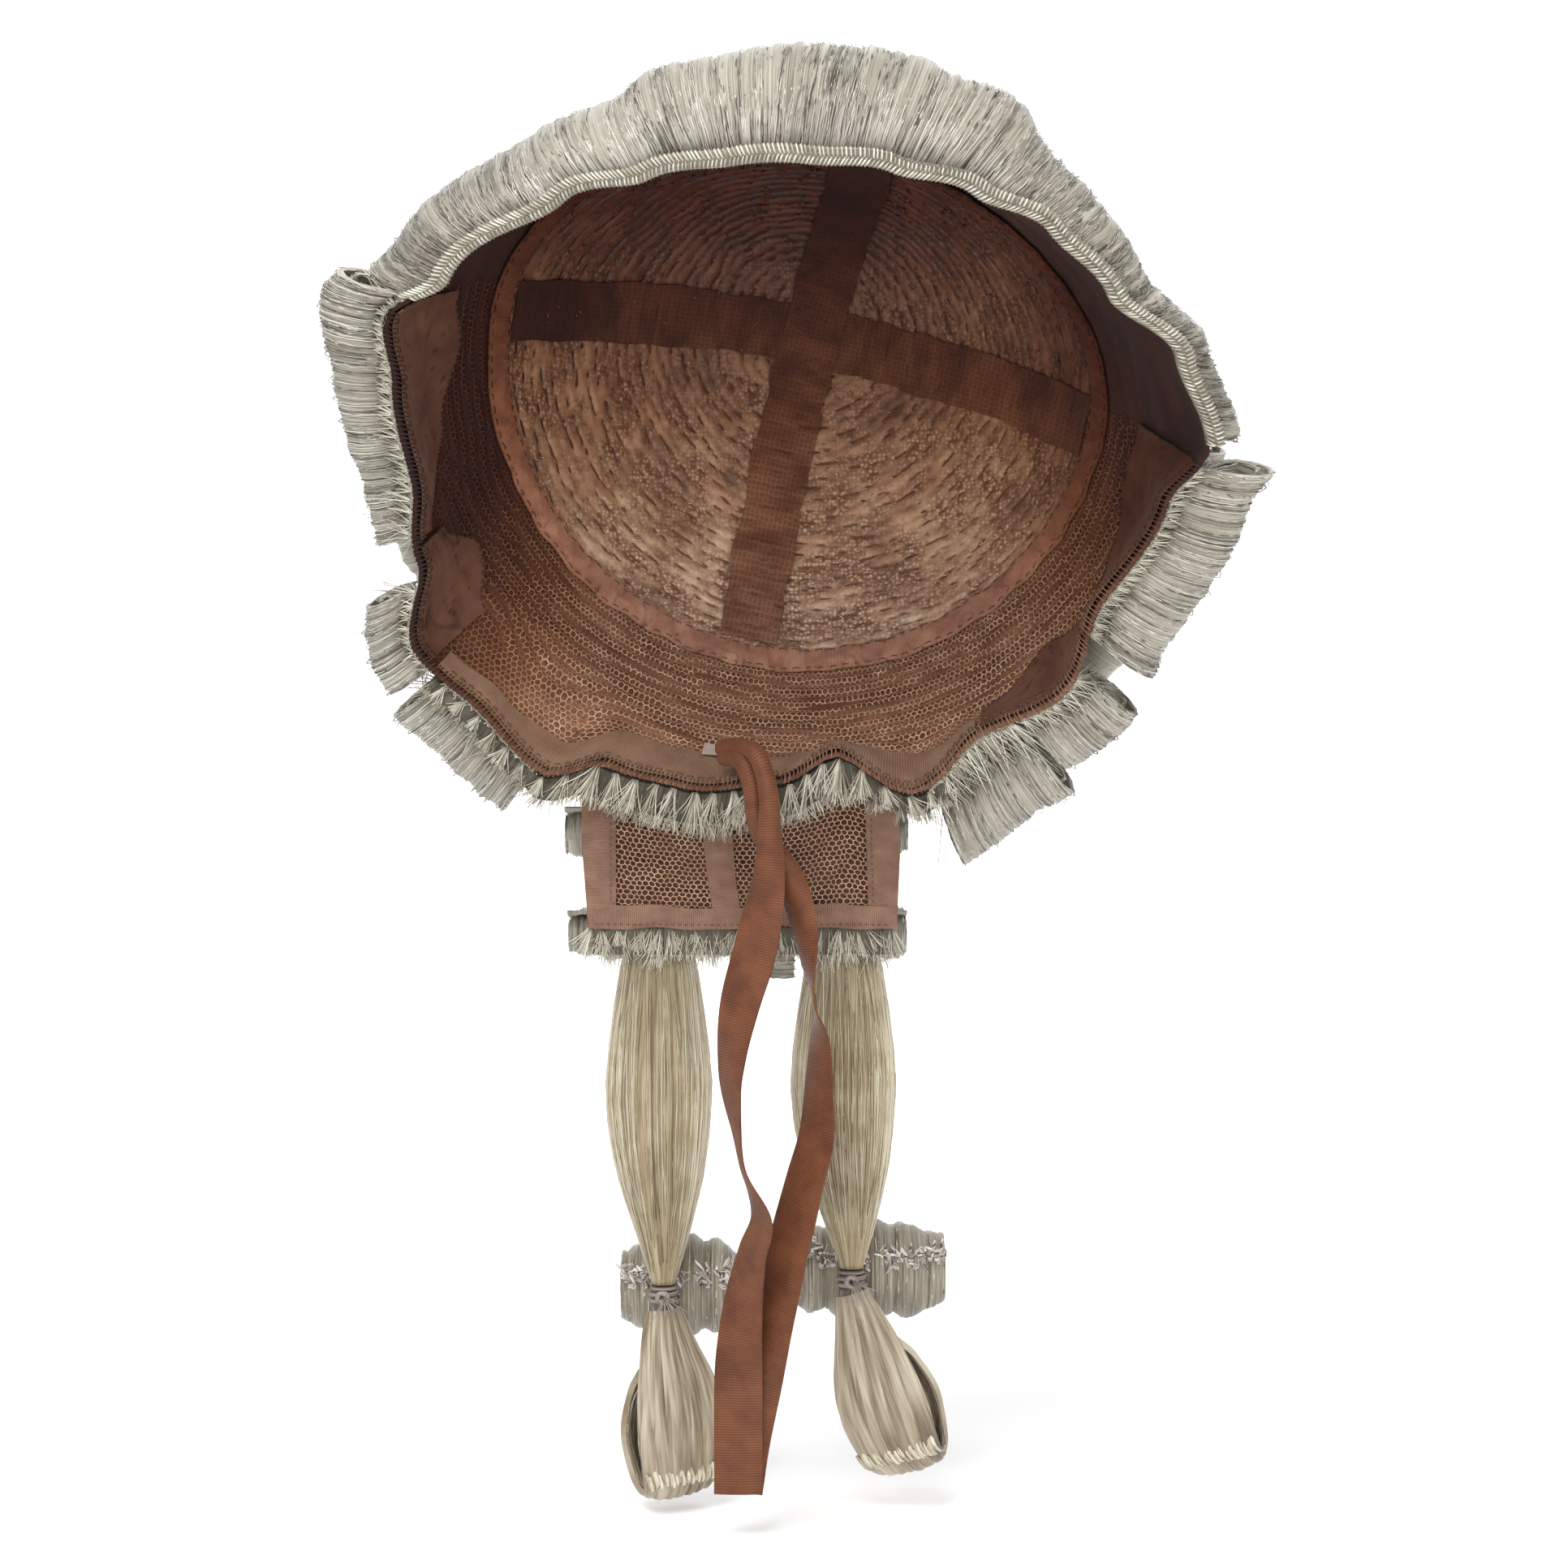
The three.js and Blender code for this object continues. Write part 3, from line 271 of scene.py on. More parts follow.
def curve_through(points, count):
    """A smooth curve through listed rows, evenly by row."""
    points = np.asarray(points, float)
    padded = np.vstack([2 * points[0] - points[1], points, 2 * points[-1] - points[-2]])
    at = np.linspace(0, len(points) - 1, count)
    row = np.clip(at.astype(int), 0, len(points) - 2)
    t = (at - row)[:, None]
    a, b, c, d = (padded[row + i] for i in range(4))
    return 0.5 * (2 * b + (c - a) * t + (2 * a - 5 * b + 4 * c - d) * t**2 + (3 * b - a - 3 * c + d) * t**3)


def lengths_along(points):
    steps = np.linalg.norm(np.diff(points, axis=0), axis=-1)
    return np.concatenate([[0], np.cumsum(steps)])


def locks(across, pitch, seed):
    """Relief of rounded locks of hair that lie side by side, 0 in the partings and up to 1."""
    rng = np.random.default_rng(seed)
    low = across.min() - 2 * pitch
    count = int((across.max() - low) / pitch) + 6
    edges = low + np.cumsum(rng.uniform(0.5, 1.5, count) * pitch)
    row = np.clip(np.searchsorted(edges, across) - 1, 0, count - 2)
    share = (across - edges[row]) / (edges[row + 1] - edges[row]) * 2 - 1
    return rng.uniform(0.45, 1, count)[row] * np.sqrt(np.clip(1 - share**2, 0, 1))


def waves(x, y, scale, seed):
    """A smooth random field of about -1 to 1."""
    rng = np.random.default_rng(seed)
    total = 0
    for _ in range(6):
        angle = rng.uniform(0, 2 * math.pi)
        rate = rng.uniform(0.6, 1.7) * 2 * math.pi / scale
        total = total + np.sin((x * math.cos(angle) + y * math.sin(angle)) * rate + rng.uniform(0, 7))
    return total / 3.2


# Making meshes

def deselect():
    for piece in bpy.context.selected_objects:
        piece.select_set(False)


def surface(name, points, across, along, relief=None, wall=0.0, outward=False, joined=False):
    """A grid laid over rows of points, with a map in millimetres, and given a wall."""
    rows, columns = points.shape[:2]
    deselect()
    bpy.ops.mesh.primitive_grid_add(x_subdivisions=columns - 1, y_subdivisions=rows - 1, size=1)
    piece = bpy.context.object
    piece.name = piece.data.name = name
    mesh = piece.data
    assert len(mesh.vertices) == rows * columns
    mesh.vertices.foreach_set("co", (points * MM).astype(np.float32).ravel())
    corners = np.empty(len(mesh.loops), np.int32)
    mesh.loops.foreach_get("vertex_index", corners)
    place = np.stack(np.broadcast_arrays(across, along), -1).reshape(-1, 2)
    chart = mesh.uv_layers[0]
    chart.name = "map"
    chart.data.foreach_set("uv", place[corners].astype(np.float32).ravel())
    height = np.broadcast_to(1.0 if relief is None else relief, (rows, columns))
    layer = mesh.attributes.new("relief", "FLOAT", "POINT")
    layer.data.foreach_set("value", height.astype(np.float32).ravel())
    if joined:
        bpy.ops.object.mode_set(mode="EDIT")
        bpy.ops.mesh.select_all(action="SELECT")
        bpy.ops.mesh.remove_doubles(threshold=1e-6)
        bpy.ops.object.mode_set(mode="OBJECT")
    if wall:
        thick = piece.modifiers.new("wall", "SOLIDIFY")
        thick.thickness = wall * MM
        thick.offset = 1 if outward else -1
        bpy.ops.object.modifier_apply(modifier=thick.name)
        bpy.ops.object.mode_set(mode="EDIT")
        bpy.ops.mesh.select_all(action="SELECT")
        bpy.ops.mesh.normals_make_consistent(inside=False)
        bpy.ops.object.mode_set(mode="OBJECT")
    bpy.ops.object.shade_smooth_by_angle(angle=math.radians(50))
    return piece


def strands(name, paths, radius, shade, taper=0.35):
    """Many thin three-sided strands as one mesh, each along its own path."""
    paths = np.asarray(paths, float)
    count, stops = paths.shape[:2]
    tangent = unit(np.gradient(paths, axis=1))
    side = unit(np.cross(tangent, [0.27, 0.31, 0.91]))
    rise = np.cross(tangent, side)
    turn = np.arange(3) * 2 * math.pi / 3
    thick = np.broadcast_to(radius, count)[:, None] * np.linspace(1, taper, stops)
    ring = side[:, :, None] * np.cos(turn)[:, None] + rise[:, :, None] * np.sin(turn)[:, None]
    points = paths[:, :, None] + ring * thick[:, :, None, None]
    index = np.arange(count * stops * 3).reshape(count, stops, 3)
    here, there = index[:, :-1], index[:, 1:]
    quads = np.stack([here, np.roll(here, -1, 2), np.roll(there, -1, 2), there], -1).reshape(-1, 4)
    ends = np.concatenate([index[:, 0, ::-1], index[:, -1]])
    corners = np.concatenate([quads.ravel(), ends.ravel()])
    starts = np.concatenate([np.arange(len(quads)) * 4, len(quads) * 4 + np.arange(len(ends)) * 3])
    mesh = bpy.data.meshes.new(name)
    mesh.vertices.add(index.size)
    mesh.vertices.foreach_set("co", (points * MM).astype(np.float32).ravel())
    mesh.loops.add(len(corners))
    mesh.loops.foreach_set("vertex_index", corners.astype(np.int32))
    mesh.polygons.add(len(starts))
    mesh.polygons.foreach_set("loop_start", starts.astype(np.int32))
    mesh.polygons.foreach_set("use_smooth", np.ones(len(starts), bool))
    mesh.update(calc_edges=True)
    layer = mesh.attributes.new("shade", "FLOAT", "POINT")
    layer.data.foreach_set("value", np.repeat(np.broadcast_to(shade, count), stops * 3).astype(np.float32))
    piece = bpy.data.objects.new(name, mesh)
    bpy.context.collection.objects.link(piece)
    return piece


def hair_shades(rng, count, dark=0.12):
    """Shade of each hair: most are pale, a few are grey or brown."""
    shade = rng.uniform(0.42, 1.0, count)
    shade[rng.random(count) < dark] *= 0.25
    return shade


def wear(piece, material, slot, *nodes):
    """Gives a piece its finish and seats it on the wig, in the place of any solids named."""
    piece.data.materials.clear()
    piece.data.materials.append(material)
    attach(piece, "root")
    if nodes:
        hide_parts(*nodes)
    return piece


def wear_tufts(name, tufts, radius, shades, taper, material):
    """Many tufts of hair as one mesh."""
    piece = strands(name, np.concatenate(tufts), radius, np.concatenate(shades), taper)
    return wear(piece, material, "hair")


# Finishes

def paint(code):
    """Linear colour of a hex code."""
    parts = [int(code[i : i + 2], 16) / 255 for i in (1, 3, 5)]
    return tuple(c / 12.92 if c <= 0.04045 else ((c + 0.055) / 1.055) ** 2.4 for c in parts) + (1.0,)


def node(tree, kind, inputs=None, **settings):
    made = tree.nodes.new(kind)
    for key, value in settings.items():
        setattr(made, key, value)
    for key, value in (inputs or {}).items():
        if isinstance(value, bpy.types.NodeSocket):
            tree.links.new(value, made.inputs[key])
        else:
            made.inputs[key].default_value = value
    return made


def ramp(tree, value, *stops):
    """Colours between stops of (position, hex code)."""
    made = node(tree, "ShaderNodeValToRGB", {"Fac": value})
    bar = made.color_ramp.elements
    while len(bar) < len(stops):
        bar.new(0.5)
    for element, (place, code) in zip(bar, stops):
        element.position = place
        element.color = paint(code)
    return made.outputs["Color"]


def finish(name, roughness, **sockets):
    """A material with its shader's fixed values; returns it with its tree and shader."""
    material = bpy.data.materials.new(name)
    material.use_nodes = True
    tree = material.node_tree
    shader = tree.nodes["Principled BSDF"]
    shader.inputs["Roughness"].default_value = roughness
    for key, value in sockets.items():
        shader.inputs[key.replace("_", " ")].default_value = value
    return material, tree, shader


def charted(tree, scale):
    """The piece's own map in millimetres, scaled."""
    chart = node(tree, "ShaderNodeUVMap", uv_map="map").outputs[0]
    return node(tree, "ShaderNodeMapping", {"Vector": chart, "Scale": (*scale, 1)}).outputs[0]


def noise(tree, vector, scale, detail=3.0, rough=0.55):
    sockets = {"Vector": vector, "Scale": scale, "Detail": detail, "Roughness": rough}
    return node(tree, "ShaderNodeTexNoise", sockets).outputs["Fac"]


def maths(tree, operation, first, second=0.0):
    made = node(tree, "ShaderNodeMath", operation=operation)
    for socket, value in zip(made.inputs, (first, second)):
        if isinstance(value, bpy.types.NodeSocket):
            tree.links.new(value, socket)
        else:
            socket.default_value = value
    return made.outputs[0]


def blend_colour(tree, share, first, second, mode="MIX"):
    made = node(tree, "ShaderNodeMix", data_type="RGBA", blend_type=mode)
    for socket, value in ((made.inputs[0], share), (made.inputs[6], first), (made.inputs[7], second)):
        if isinstance(value, bpy.types.NodeSocket):
            tree.links.new(value, socket)
        else:
            socket.default_value = value
    return made.outputs[2]


def raise_bump(tree, shader, height, strength, distance):
    sockets = {"Height": height, "Strength": strength, "Distance": distance * MM}
    tree.links.new(node(tree, "ShaderNodeBump", sockets).outputs[0], shader.inputs["Normal"])


def hair_surface(name, dark, middle, light, roughness=0.45, crisp=0.75):
    """Combed hair: fine streaks along the strands, darker in the partings with painted shade."""
    material, tree, shader = finish(name, roughness, Sheen_Weight=0.15, Specular_IOR_Level=0.45)
    fine = noise(tree, charted(tree, (4.2, 0.05)), 1.0, 5.0, 0.7)
    broad = noise(tree, charted(tree, (0.5, 0.03)), 1.0, 2.0)
    streaks = maths(tree, "MULTIPLY", fine, crisp)
    bands = maths(tree, "MULTIPLY", broad, 1 - crisp)
    mixed = maths(tree, "ADD", streaks, bands)
    colour = ramp(tree, mixed, (0.36, dark), (0.47, middle), (0.6, light))
    relief = node(tree, "ShaderNodeAttribute", attribute_name="relief").outputs["Fac"]
    # painted shade: darker where the relief sinks into the partings between locks
    parting_shade = ramp(tree, relief, (0.0, "#4b443a"), (0.6, "#ffffff"))
    tree.links.new(blend_colour(tree, 0.9, colour, parting_shade, "MULTIPLY"), shader.inputs["Base Color"])
    raise_bump(tree, shader, fine, crisp, 0.35)
    return material


def hair_strand(name, dark, middle, light, roughness=0.4, inside=False):
    """Single hairs, each with its own shade."""
    material, tree, shader = finish(name, roughness, Specular_IOR_Level=0.5)
    shade = node(tree, "ShaderNodeAttribute", attribute_name="shade").outputs["Fac"]
    along = noise(tree, node(tree, "ShaderNodeTexCoord").outputs["Object"], 160.0, 2.0)
    mixed = maths(tree, "ADD", shade, maths(tree, "MULTIPLY", maths(tree, "SUBTRACT", along, 0.5), 0.5))
    colour = ramp(tree, mixed, (0.02, dark), (0.4, middle), (0.9, light))
    # with inside set, painted shade of the crown's inside is laid over the colour
    if inside:
        painted_inside_shade(tree, shader, colour)
    else:
        tree.links.new(colour, shader.inputs["Base Color"])
    return material


def painted_inside_shade(tree, shader, colour, left=0.0, brow=7.5):
    """Darkens a lining's colour towards the brow and the sides with painted shade, where little light
    reaches, and in part with the lining's own browner tone there.
    """
    place = node(tree, "ShaderNodeTexCoord").outputs["Object"]
    split = node(tree, "ShaderNodeSeparateXYZ", {"Vector": place})
    high = maths(tree, "MULTIPLY", maths(tree, "ADD", split.outputs["Z"], 0.105), brow)
    right = maths(tree, "MAXIMUM", maths(tree, "SUBTRACT", split.outputs["X"], 0.05), 0.0)
    share = maths(tree, "ADD", high, maths(tree, "MULTIPLY", right, 14.0))
    aside = maths(tree, "MAXIMUM", maths(tree, "SUBTRACT", -0.05, split.outputs["X"]), 0.0)
    share = maths(tree, "ADD", share, maths(tree, "MULTIPLY", aside, left))
    # painted shade: white where light reaches, warm dark brown deep under the brow and at the sides
    shade = ramp(tree, share, (0.2, "#ffffff"), (0.42, "#ecdfd0"), (0.62, "#bfa58c"), (1.0, "#693a22"))
    tree.links.new(blend_colour(tree, 1.0, colour, shade, "MULTIPLY"), shader.inputs["Base Color"])


def net_cloth(name, dark, light, cell):
    """Hexagonal net over what lies behind it: cells and threads charted on the piece."""
    material, tree, shader = finish(name, 0.9, Sheen_Weight=0.04)
    vector = charted(tree, (1 / cell, 1 / cell))
    made = node(tree, "ShaderNodeTexVoronoi", {"Vector": vector, "Scale": 1.0, "Randomness": 0.3})
    made.feature = "DISTANCE_TO_EDGE"
    thread = ramp(tree, made.outputs["Distance"], (0.08, light), (0.2, dark))
    patch = noise(tree, charted(tree, (0.06, 0.14)), 1.0, 3.0)
    tint = ramp(tree, patch, (0.35, "#b09a8c"), (0.62, "#ffffff"))
    relief = node(tree, "ShaderNodeAttribute", attribute_name="relief").outputs["Fac"]
    # painted shade in the hollows of the net, where the relief is low
    groove_shade = ramp(tree, relief, (0.0, "#6f5c50"), (0.6, "#ffffff"))
    tinted = blend_colour(tree, 0.8, blend_colour(tree, 0.9, thread, tint, "MULTIPLY"), groove_shade, "MULTIPLY")
    # painted shade towards the brow and both sides
    painted_inside_shade(tree, shader, tinted, 17.0)
    raise_bump(tree, shader, made.outputs["Distance"], -0.5, 0.3)
    return material


def sewn_weft(name):
    """Rows of sewn hair seen from inside the crown, flecked with pale points between net threads: pale hair
    brightened with painted glints, and painted shade in the slits between rows.
    """
    material, tree, shader = finish(name, 0.6, Specular_IOR_Level=0.5, Sheen_Weight=0.1)
    place = node(tree, "ShaderNodeTexCoord").outputs["Object"]
    cells = node(tree, "ShaderNodeTexVoronoi", {"Vector": place, "Scale": 900.0, "Randomness": 0.7})
    # pale hair between the net threads, brightened in the cell middles as painted glints
    fleck_and_glint = ramp(tree, cells.outputs["Distance"], (0.08, "#f7e6d2"), (0.34, "#c39b7e"), (0.66, "#7a5945"))
    patch = noise(tree, place, 60.0, 5.0, 0.7)
    cover = ramp(tree, patch, (0.38, "#876551"), (0.5, "#c49c80"), (0.62, "#e9caae"))
    spread = noise(tree, place, 110.0, 3.0)
    shown = maths(tree, "MULTIPLY", maths(tree, "SUBTRACT", spread, 0.38), 4.0)
    shown.node.use_clamp = True
    colour = blend_colour(tree, shown, cover, fleck_and_glint)
    relief = node(tree, "ShaderNodeAttribute", attribute_name="relief").outputs["Fac"]
    # painted shade in the slits between the sewn rows, then painted shade towards the brow and the right side
    slit = ramp(tree, relief, (0.1, "#3f2a1e"), (0.7, "#ffffff"))
    painted_inside_shade(tree, shader, blend_colour(tree, 0.95, colour, slit, "MULTIPLY"))
    raise_bump(tree, shader, cells.outputs["Distance"], -0.6, 0.4)
    return material


def ribbed_cloth(name, dark, light, rib, roughness=0.7, across=False, inside=False):
    """Grosgrain: fine ribs charted on the piece, with worn and darker patches, painted shadow between the
    ribs and painted shade in the creases.
    """
    material, tree, shader = finish(name, roughness, Sheen_Weight=0.06, Specular_IOR_Level=0.3)
    scale = 0.314 / rib
    sockets = {"Vector": charted(tree, (1, 1)), "Scale": scale, "Distortion": 0.25, "Detail": 1.0}
    bands = node(tree, "ShaderNodeTexWave", sockets, bands_direction="X" if across else "Y")
    patch = noise(tree, charted(tree, (0.12, 0.12)), 1.0, 5.0, 0.6)
    base = ramp(tree, patch, (0.35, dark), (0.65, light))
    shadow = ramp(tree, bands.outputs["Fac"], (0.0, "#bba79c"), (0.6, "#ffffff"))
    ribbed = blend_colour(tree, 0.7, base, shadow, "MULTIPLY")
    relief = node(tree, "ShaderNodeAttribute", attribute_name="relief").outputs["Fac"]
    # painted shade in the creases, where the relief is low
    crease = ramp(tree, relief, (0.0, "#4c352a"), (0.9, "#ffffff"))
    ribbed = blend_colour(tree, 1.0, ribbed, crease, "MULTIPLY")
    # with inside set, painted shade of the crown's inside
    if inside:
        painted_inside_shade(tree, shader, ribbed)
    else:
        tree.links.new(ribbed, shader.inputs["Base Color"])
    raise_bump(tree, shader, bands.outputs["Fac"], 0.55, 0.12)
    return material


def satin_cloth(name, dark, light):
    material, tree, shader = finish(name, 0.6, Sheen_Weight=0.04, Specular_IOR_Level=0.3)
    patch = noise(tree, charted(tree, (0.1, 0.05)), 1.0, 4.0)
    weave = noise(tree, charted(tree, (9.0, 2.5)), 1.0, 2.0)
    relief = node(tree, "ShaderNodeAttribute", attribute_name="relief").outputs["Fac"]
    # painted shade in the creases, where the relief is low
    crease = ramp(tree, relief, (0.0, "#4a352b"), (0.9, "#ffffff"))
    base = ramp(tree, patch, (0.35, dark), (0.65, light))
    # painted shade towards the brow and the right side
    painted_inside_shade(tree, shader, blend_colour(tree, 1.0, base, crease, "MULTIPLY"), 0.0, 2.0)
    raise_bump(tree, shader, weave, 0.25, 0.08)
    return material


def thread(name, dark, light):
    material, tree, shader = finish(name, 0.75)
    shade = node(tree, "ShaderNodeAttribute", attribute_name="shade").outputs["Fac"]
    # painted shade towards the brow and both sides
    painted_inside_shade(tree, shader, ramp(tree, shade, (0.0, dark), (1.0, light)), 17.0)
    return material


PALE_HAIR = hair_surface("pale_hair", "#5d564d", "#9b9585", "#c2bcae")
# very dark hair: painted shade on the pale hair that lies under and between the rolls and fringes
SHADED_UNDER_HAIR = hair_surface("under_hair", "#2e281f", "#575040", "#7d7563")
END_HAIR = hair_surface("end_hair", "#3e362b", "#847a68", "#b9b1a0", 0.38)
PALE_STRAND = hair_strand("pale_strand", "#3b342d", "#968e81", "#dfdacf")
CUT_STRAND = hair_strand("cut_strand", "#5a5344", "#b0a893", "#ece7d7")
TAIL_HAIR = hair_surface("tail_hair", "#7b6a4c", "#9b8968", "#b8a989", 0.32, 0.4)
TAIL_STRAND = hair_strand("tail_strand", "#6d5b3f", "#9f8e6c", "#d6ccb5", 0.3)
LOOP_HAIR = hair_surface("loop_hair", "#5d4a33", "#92826a", "#c6bba6", 0.27, 0.3)
HEM_HAIR = hair_strand("hem_hair", "#8f8268", "#c6bba2", "#e6deca")
LOOP_STRAND = hair_strand("loop_strand", "#584530", "#9c8c6d", "#e2dac8", 0.28)
NET = net_cloth("brown_net", "#815a42", "#9d6f52", 1.5)
BAND_NET = net_cloth("band_net", "#895f48", "#a2745a", 1.3)
FLAP_NET = net_cloth("flap_net_cloth", "#492f23", "#593b2c", 1.5)
WEFT = sewn_weft("sewn_weft")
# pale hair loops brightened to stand as painted glints, with painted shade towards the brow
SPARK = hair_strand("sparkle", "#a88768", "#e0c8aa", "#fff4e4", inside=True)
NET_THREAD = thread("net_thread", "#a3775b", "#d6b090")
SEAM_THREAD = thread("seam_thread", "#543a2a", "#8a6850")
# the ring tape carries painted shade of the crown's inside
RING_TAPE = ribbed_cloth("ring_tape_cloth", "#a87560", "#cf9c83", 0.5, 0.75, True, True)
TAPE = ribbed_cloth("tape_cloth", "#80604b", "#97775f", 0.55, 0.8, True)
FLAP_TAPE_CLOTH = ribbed_cloth("flap_tape_cloth", "#7f604f", "#9a7966", 0.5, 0.8)
HEM_TAPE_CLOTH = ribbed_cloth("hem_tape_cloth", "#7f604f", "#9a7966", 0.5, 0.8, True)
RIBBON = ribbed_cloth("ribbon_cloth", "#61351d", "#7b492b", 0.62, 0.55)
SATIN = satin_cloth("dark_satin", "#553325", "#6f4a39")
LABEL = ribbed_cloth("label_cloth", "#b9a99c", "#cdc0b5", 0.3, 0.8)
TIE_HAIR = hair_strand("tie_hair", "#4f443d", "#877a72", "#b9aea7")
KNOT_THREAD = hair_strand("knot_thread", "#6f635c", "#bcb1aa", "#f2ece6")


# Lining

def net_ripple(across, along, rise):
    """Ridges of the net between the ring tape and the nape, about 1 high."""
    row = along / 4.6 + 0.75 * waves(across, along * 0.5, 38, 3)
    return np.sin(2 * math.pi * row) * ease(9, 12, rise) * (1 - ease(29, 32, rise))


def make_net_lining():
    bearing = np.linspace(0, 360, 151)[None]
    rise = np.linspace(0, 90, 52)[:, None]
    across, along = bearing / 360 * RIM_ROUND, rise * RISE_STEP
    ripple = net_ripple(across, along, rise)
    points = cap_point(bearing, rise, 0.35 + 0.4 * ripple)
    # painted shade: the relief is darker in the hollows of the ripples
    piece = surface("net_lining", points, across, along, 0.8 - 0.3 * ripple, NET_WALL - 0.35, True, True)
    wear(piece, NET, "net", "net_cap")


def weft_rows(x, z, reach):
    """Height and slits of the sewn rows inside the crown, by place from the crown's middle."""
    row = reach / 3.8 + 0.34 * waves(x, z, 50, 11) + 0.17 * waves(x, z, 13, 12)
    step = row % 1
    broken = np.clip(2.4 * waves(x, z, 7, 13) + 0.45, 0, 1)
    slit = np.clip(1.2 - np.abs(step - 0.88) / 0.13, 0, 1) * broken
    swell = np.sin(math.pi * np.clip(step / 0.9, 0, 1))
    return 0.36 * swell + 0.16 * waves(x, z, 3.4, 14) - 0.4 * slit, slit


def make_crown_weft():
    bearing = np.linspace(0, 360, 241)[None]
    reach = (90 - np.linspace(33, 90, 145))[:, None] * RISE_STEP
    x, z = reach * np.sin(np.radians(bearing)), reach * np.cos(np.radians(bearing))
    height, slit = weft_rows(x, z, reach)
    points = cap_point(bearing, 90 - reach / RISE_STEP, 0.2 - height)
    # painted shade in the slits between the rows
    piece = surface("crown_weft", points, x, z, 0.85 - 0.85 * slit, joined=True)
    wear(piece, WEFT, "net")
    # small pale hair loops, brightened as painted glints, in patches over the sewn rows
    rng = np.random.default_rng(15)
    count = 2200
    reach = np.sqrt(rng.uniform(0, 1, (count, 1))) * 105
    angle = rng.uniform(0, 2 * math.pi, (count, 1)) + np.linspace(0, 1.3, 4) / np.maximum(reach, 8)
    reach = reach + rng.normal(0, 0.5, (count, 1)) * np.linspace(0, 1, 4)
    stand = 0.1 - np.array([0.1, 0.75, 0.75, 0.1]) - rng.uniform(0, 0.2, (count, 1))
    paths = cap_point(np.degrees(angle), 90 - reach / RISE_STEP, stand)
    patch = waves(reach * np.sin(angle), reach * np.cos(angle), 26, 16)[:, 0]
    keep = patch + rng.normal(0, 0.3, count) > 0.0
    wear(strands("crown_sparkle", paths[keep], 0.16, rng.uniform(0, 1, count)[keep], 0.7), SPARK, "net")


def net_threads(name, place, width, height, pitch, thread_width, seed):
    """Hexagonal net, one sheet with open cells, over a width and a height in millimetres."""
    rng = np.random.default_rng(seed)
    side = pitch / math.sqrt(3)
    rows, columns = int(height / (1.5 * side)), int(width / pitch)
    row, column = np.meshgrid(np.arange(rows), np.arange(columns), indexing="ij")
    centre = np.stack([(column + 0.5 * (row % 2)) * pitch, row * 1.5 * side], -1).reshape(-1, 2)
    angle = np.radians(np.arange(6) * 60 + 30)
    corner = np.stack([np.cos(angle), np.sin(angle)], -1)
    opening = side - thread_width / math.sqrt(3)
    spots = centre[:, None] + np.concatenate([corner * side, corner * opening])
    x, y = spots[..., 0], spots[..., 1]
    wavy = np.stack([waves(x, y, 5, seed + 1), waves(x, y, 6, seed + 2)], -1)
    spots = spots + 0.16 * pitch * wavy
    points = place(spots[..., 0], spots[..., 1]).reshape(-1, 3) * MM
    index = np.arange(len(points)).reshape(-1, 12)
    edge, hole = index[:, :6], index[:, 6:]
    quads = np.stack([edge, np.roll(edge, -1, 1), np.roll(hole, -1, 1), hole], -1).reshape(-1, 4)
    mesh = bpy.data.meshes.new(name)
    mesh.from_pydata(points.tolist(), [], quads.tolist())
    shade = rng.uniform(0.2, 1, len(centre)) * (0.65 + 0.35 * waves(centre[:, 0], centre[:, 1], 14, seed + 3))
    layer = mesh.attributes.new("shade", "FLOAT", "POINT")
    layer.data.foreach_set("value", np.repeat(np.clip(shade, 0, 1), 12).astype(np.float32))
    piece = bpy.data.objects.new(name, mesh)
    bpy.context.collection.objects.link(piece)
    deselect()
    bpy.context.view_layer.objects.active = piece
    bpy.ops.object.mode_set(mode="EDIT")
    bpy.ops.mesh.select_all(action="SELECT")
    bpy.ops.mesh.remove_doubles(threshold=1e-6)
    bpy.ops.object.mode_set(mode="OBJECT")
    return piece


def make_cap_threads():
    low = NAPE_TAPE_LOW + 1.2
    first = ROLL_FROM / 360 * RIM_ROUND

    def place(across, along):
        rise = low + along / RISE_STEP
        full = first + across
        ripple = net_ripple(full, rise * RISE_STEP, rise)
        return cap_point(full / RIM_ROUND * 360, rise, 0.0 + 0.4 * ripple)

    width = (ROLL_TO - ROLL_FROM) / 360 * RIM_ROUND
    height = (RING_TAPE_LOW + 0.6 - low) * RISE_STEP
    wear(net_threads("net_threads", place, width, height, 1.55, 0.3, 31), NET_THREAD, "net")


def make_ring_tape():
    bearing = np.linspace(0, 360, 541)[None]
    share = np.linspace(0, 1, 9)[:, None]
    across = bearing / 360 * RIM_ROUND * 0.85
    pucker = 1 - 2 * np.abs(waves(across + 2 * share, share * 4, 8, 22))
    gather = waves(across, share * 0, 7, 21) * 0.6 + pucker
    low = RING_TAPE_LOW - 0.2 + 0.35 * waves(across, 0 * share, 12, 23)
    high = RING_TAPE_HIGH + 0.4 + 0.45 * waves(across, 0 * share, 9, 24)
    puff = np.sin(math.pi * share)
    # painted shade in the creases of the puckers
    crease = np.clip(pucker, 0, 1) ** 5 * (0.4 + 0.6 * np.abs(2 * share - 1))
    points = cap_point(bearing, mix(low, high, share), -0.85 - 0.5 * gather * puff - 0.3 * puff)
    piece = surface("ring_tape", points, across, share * 8, 1 - 0.8 * crease, 0.45, True, joined=True)
    wear(piece, RING_TAPE, "tape", "crown_ring_tape")
    stitched_line("ring_tape_seams", bearing[0], [low[0] + 0.45, high[0] - 0.45], -1.2, 3.2)


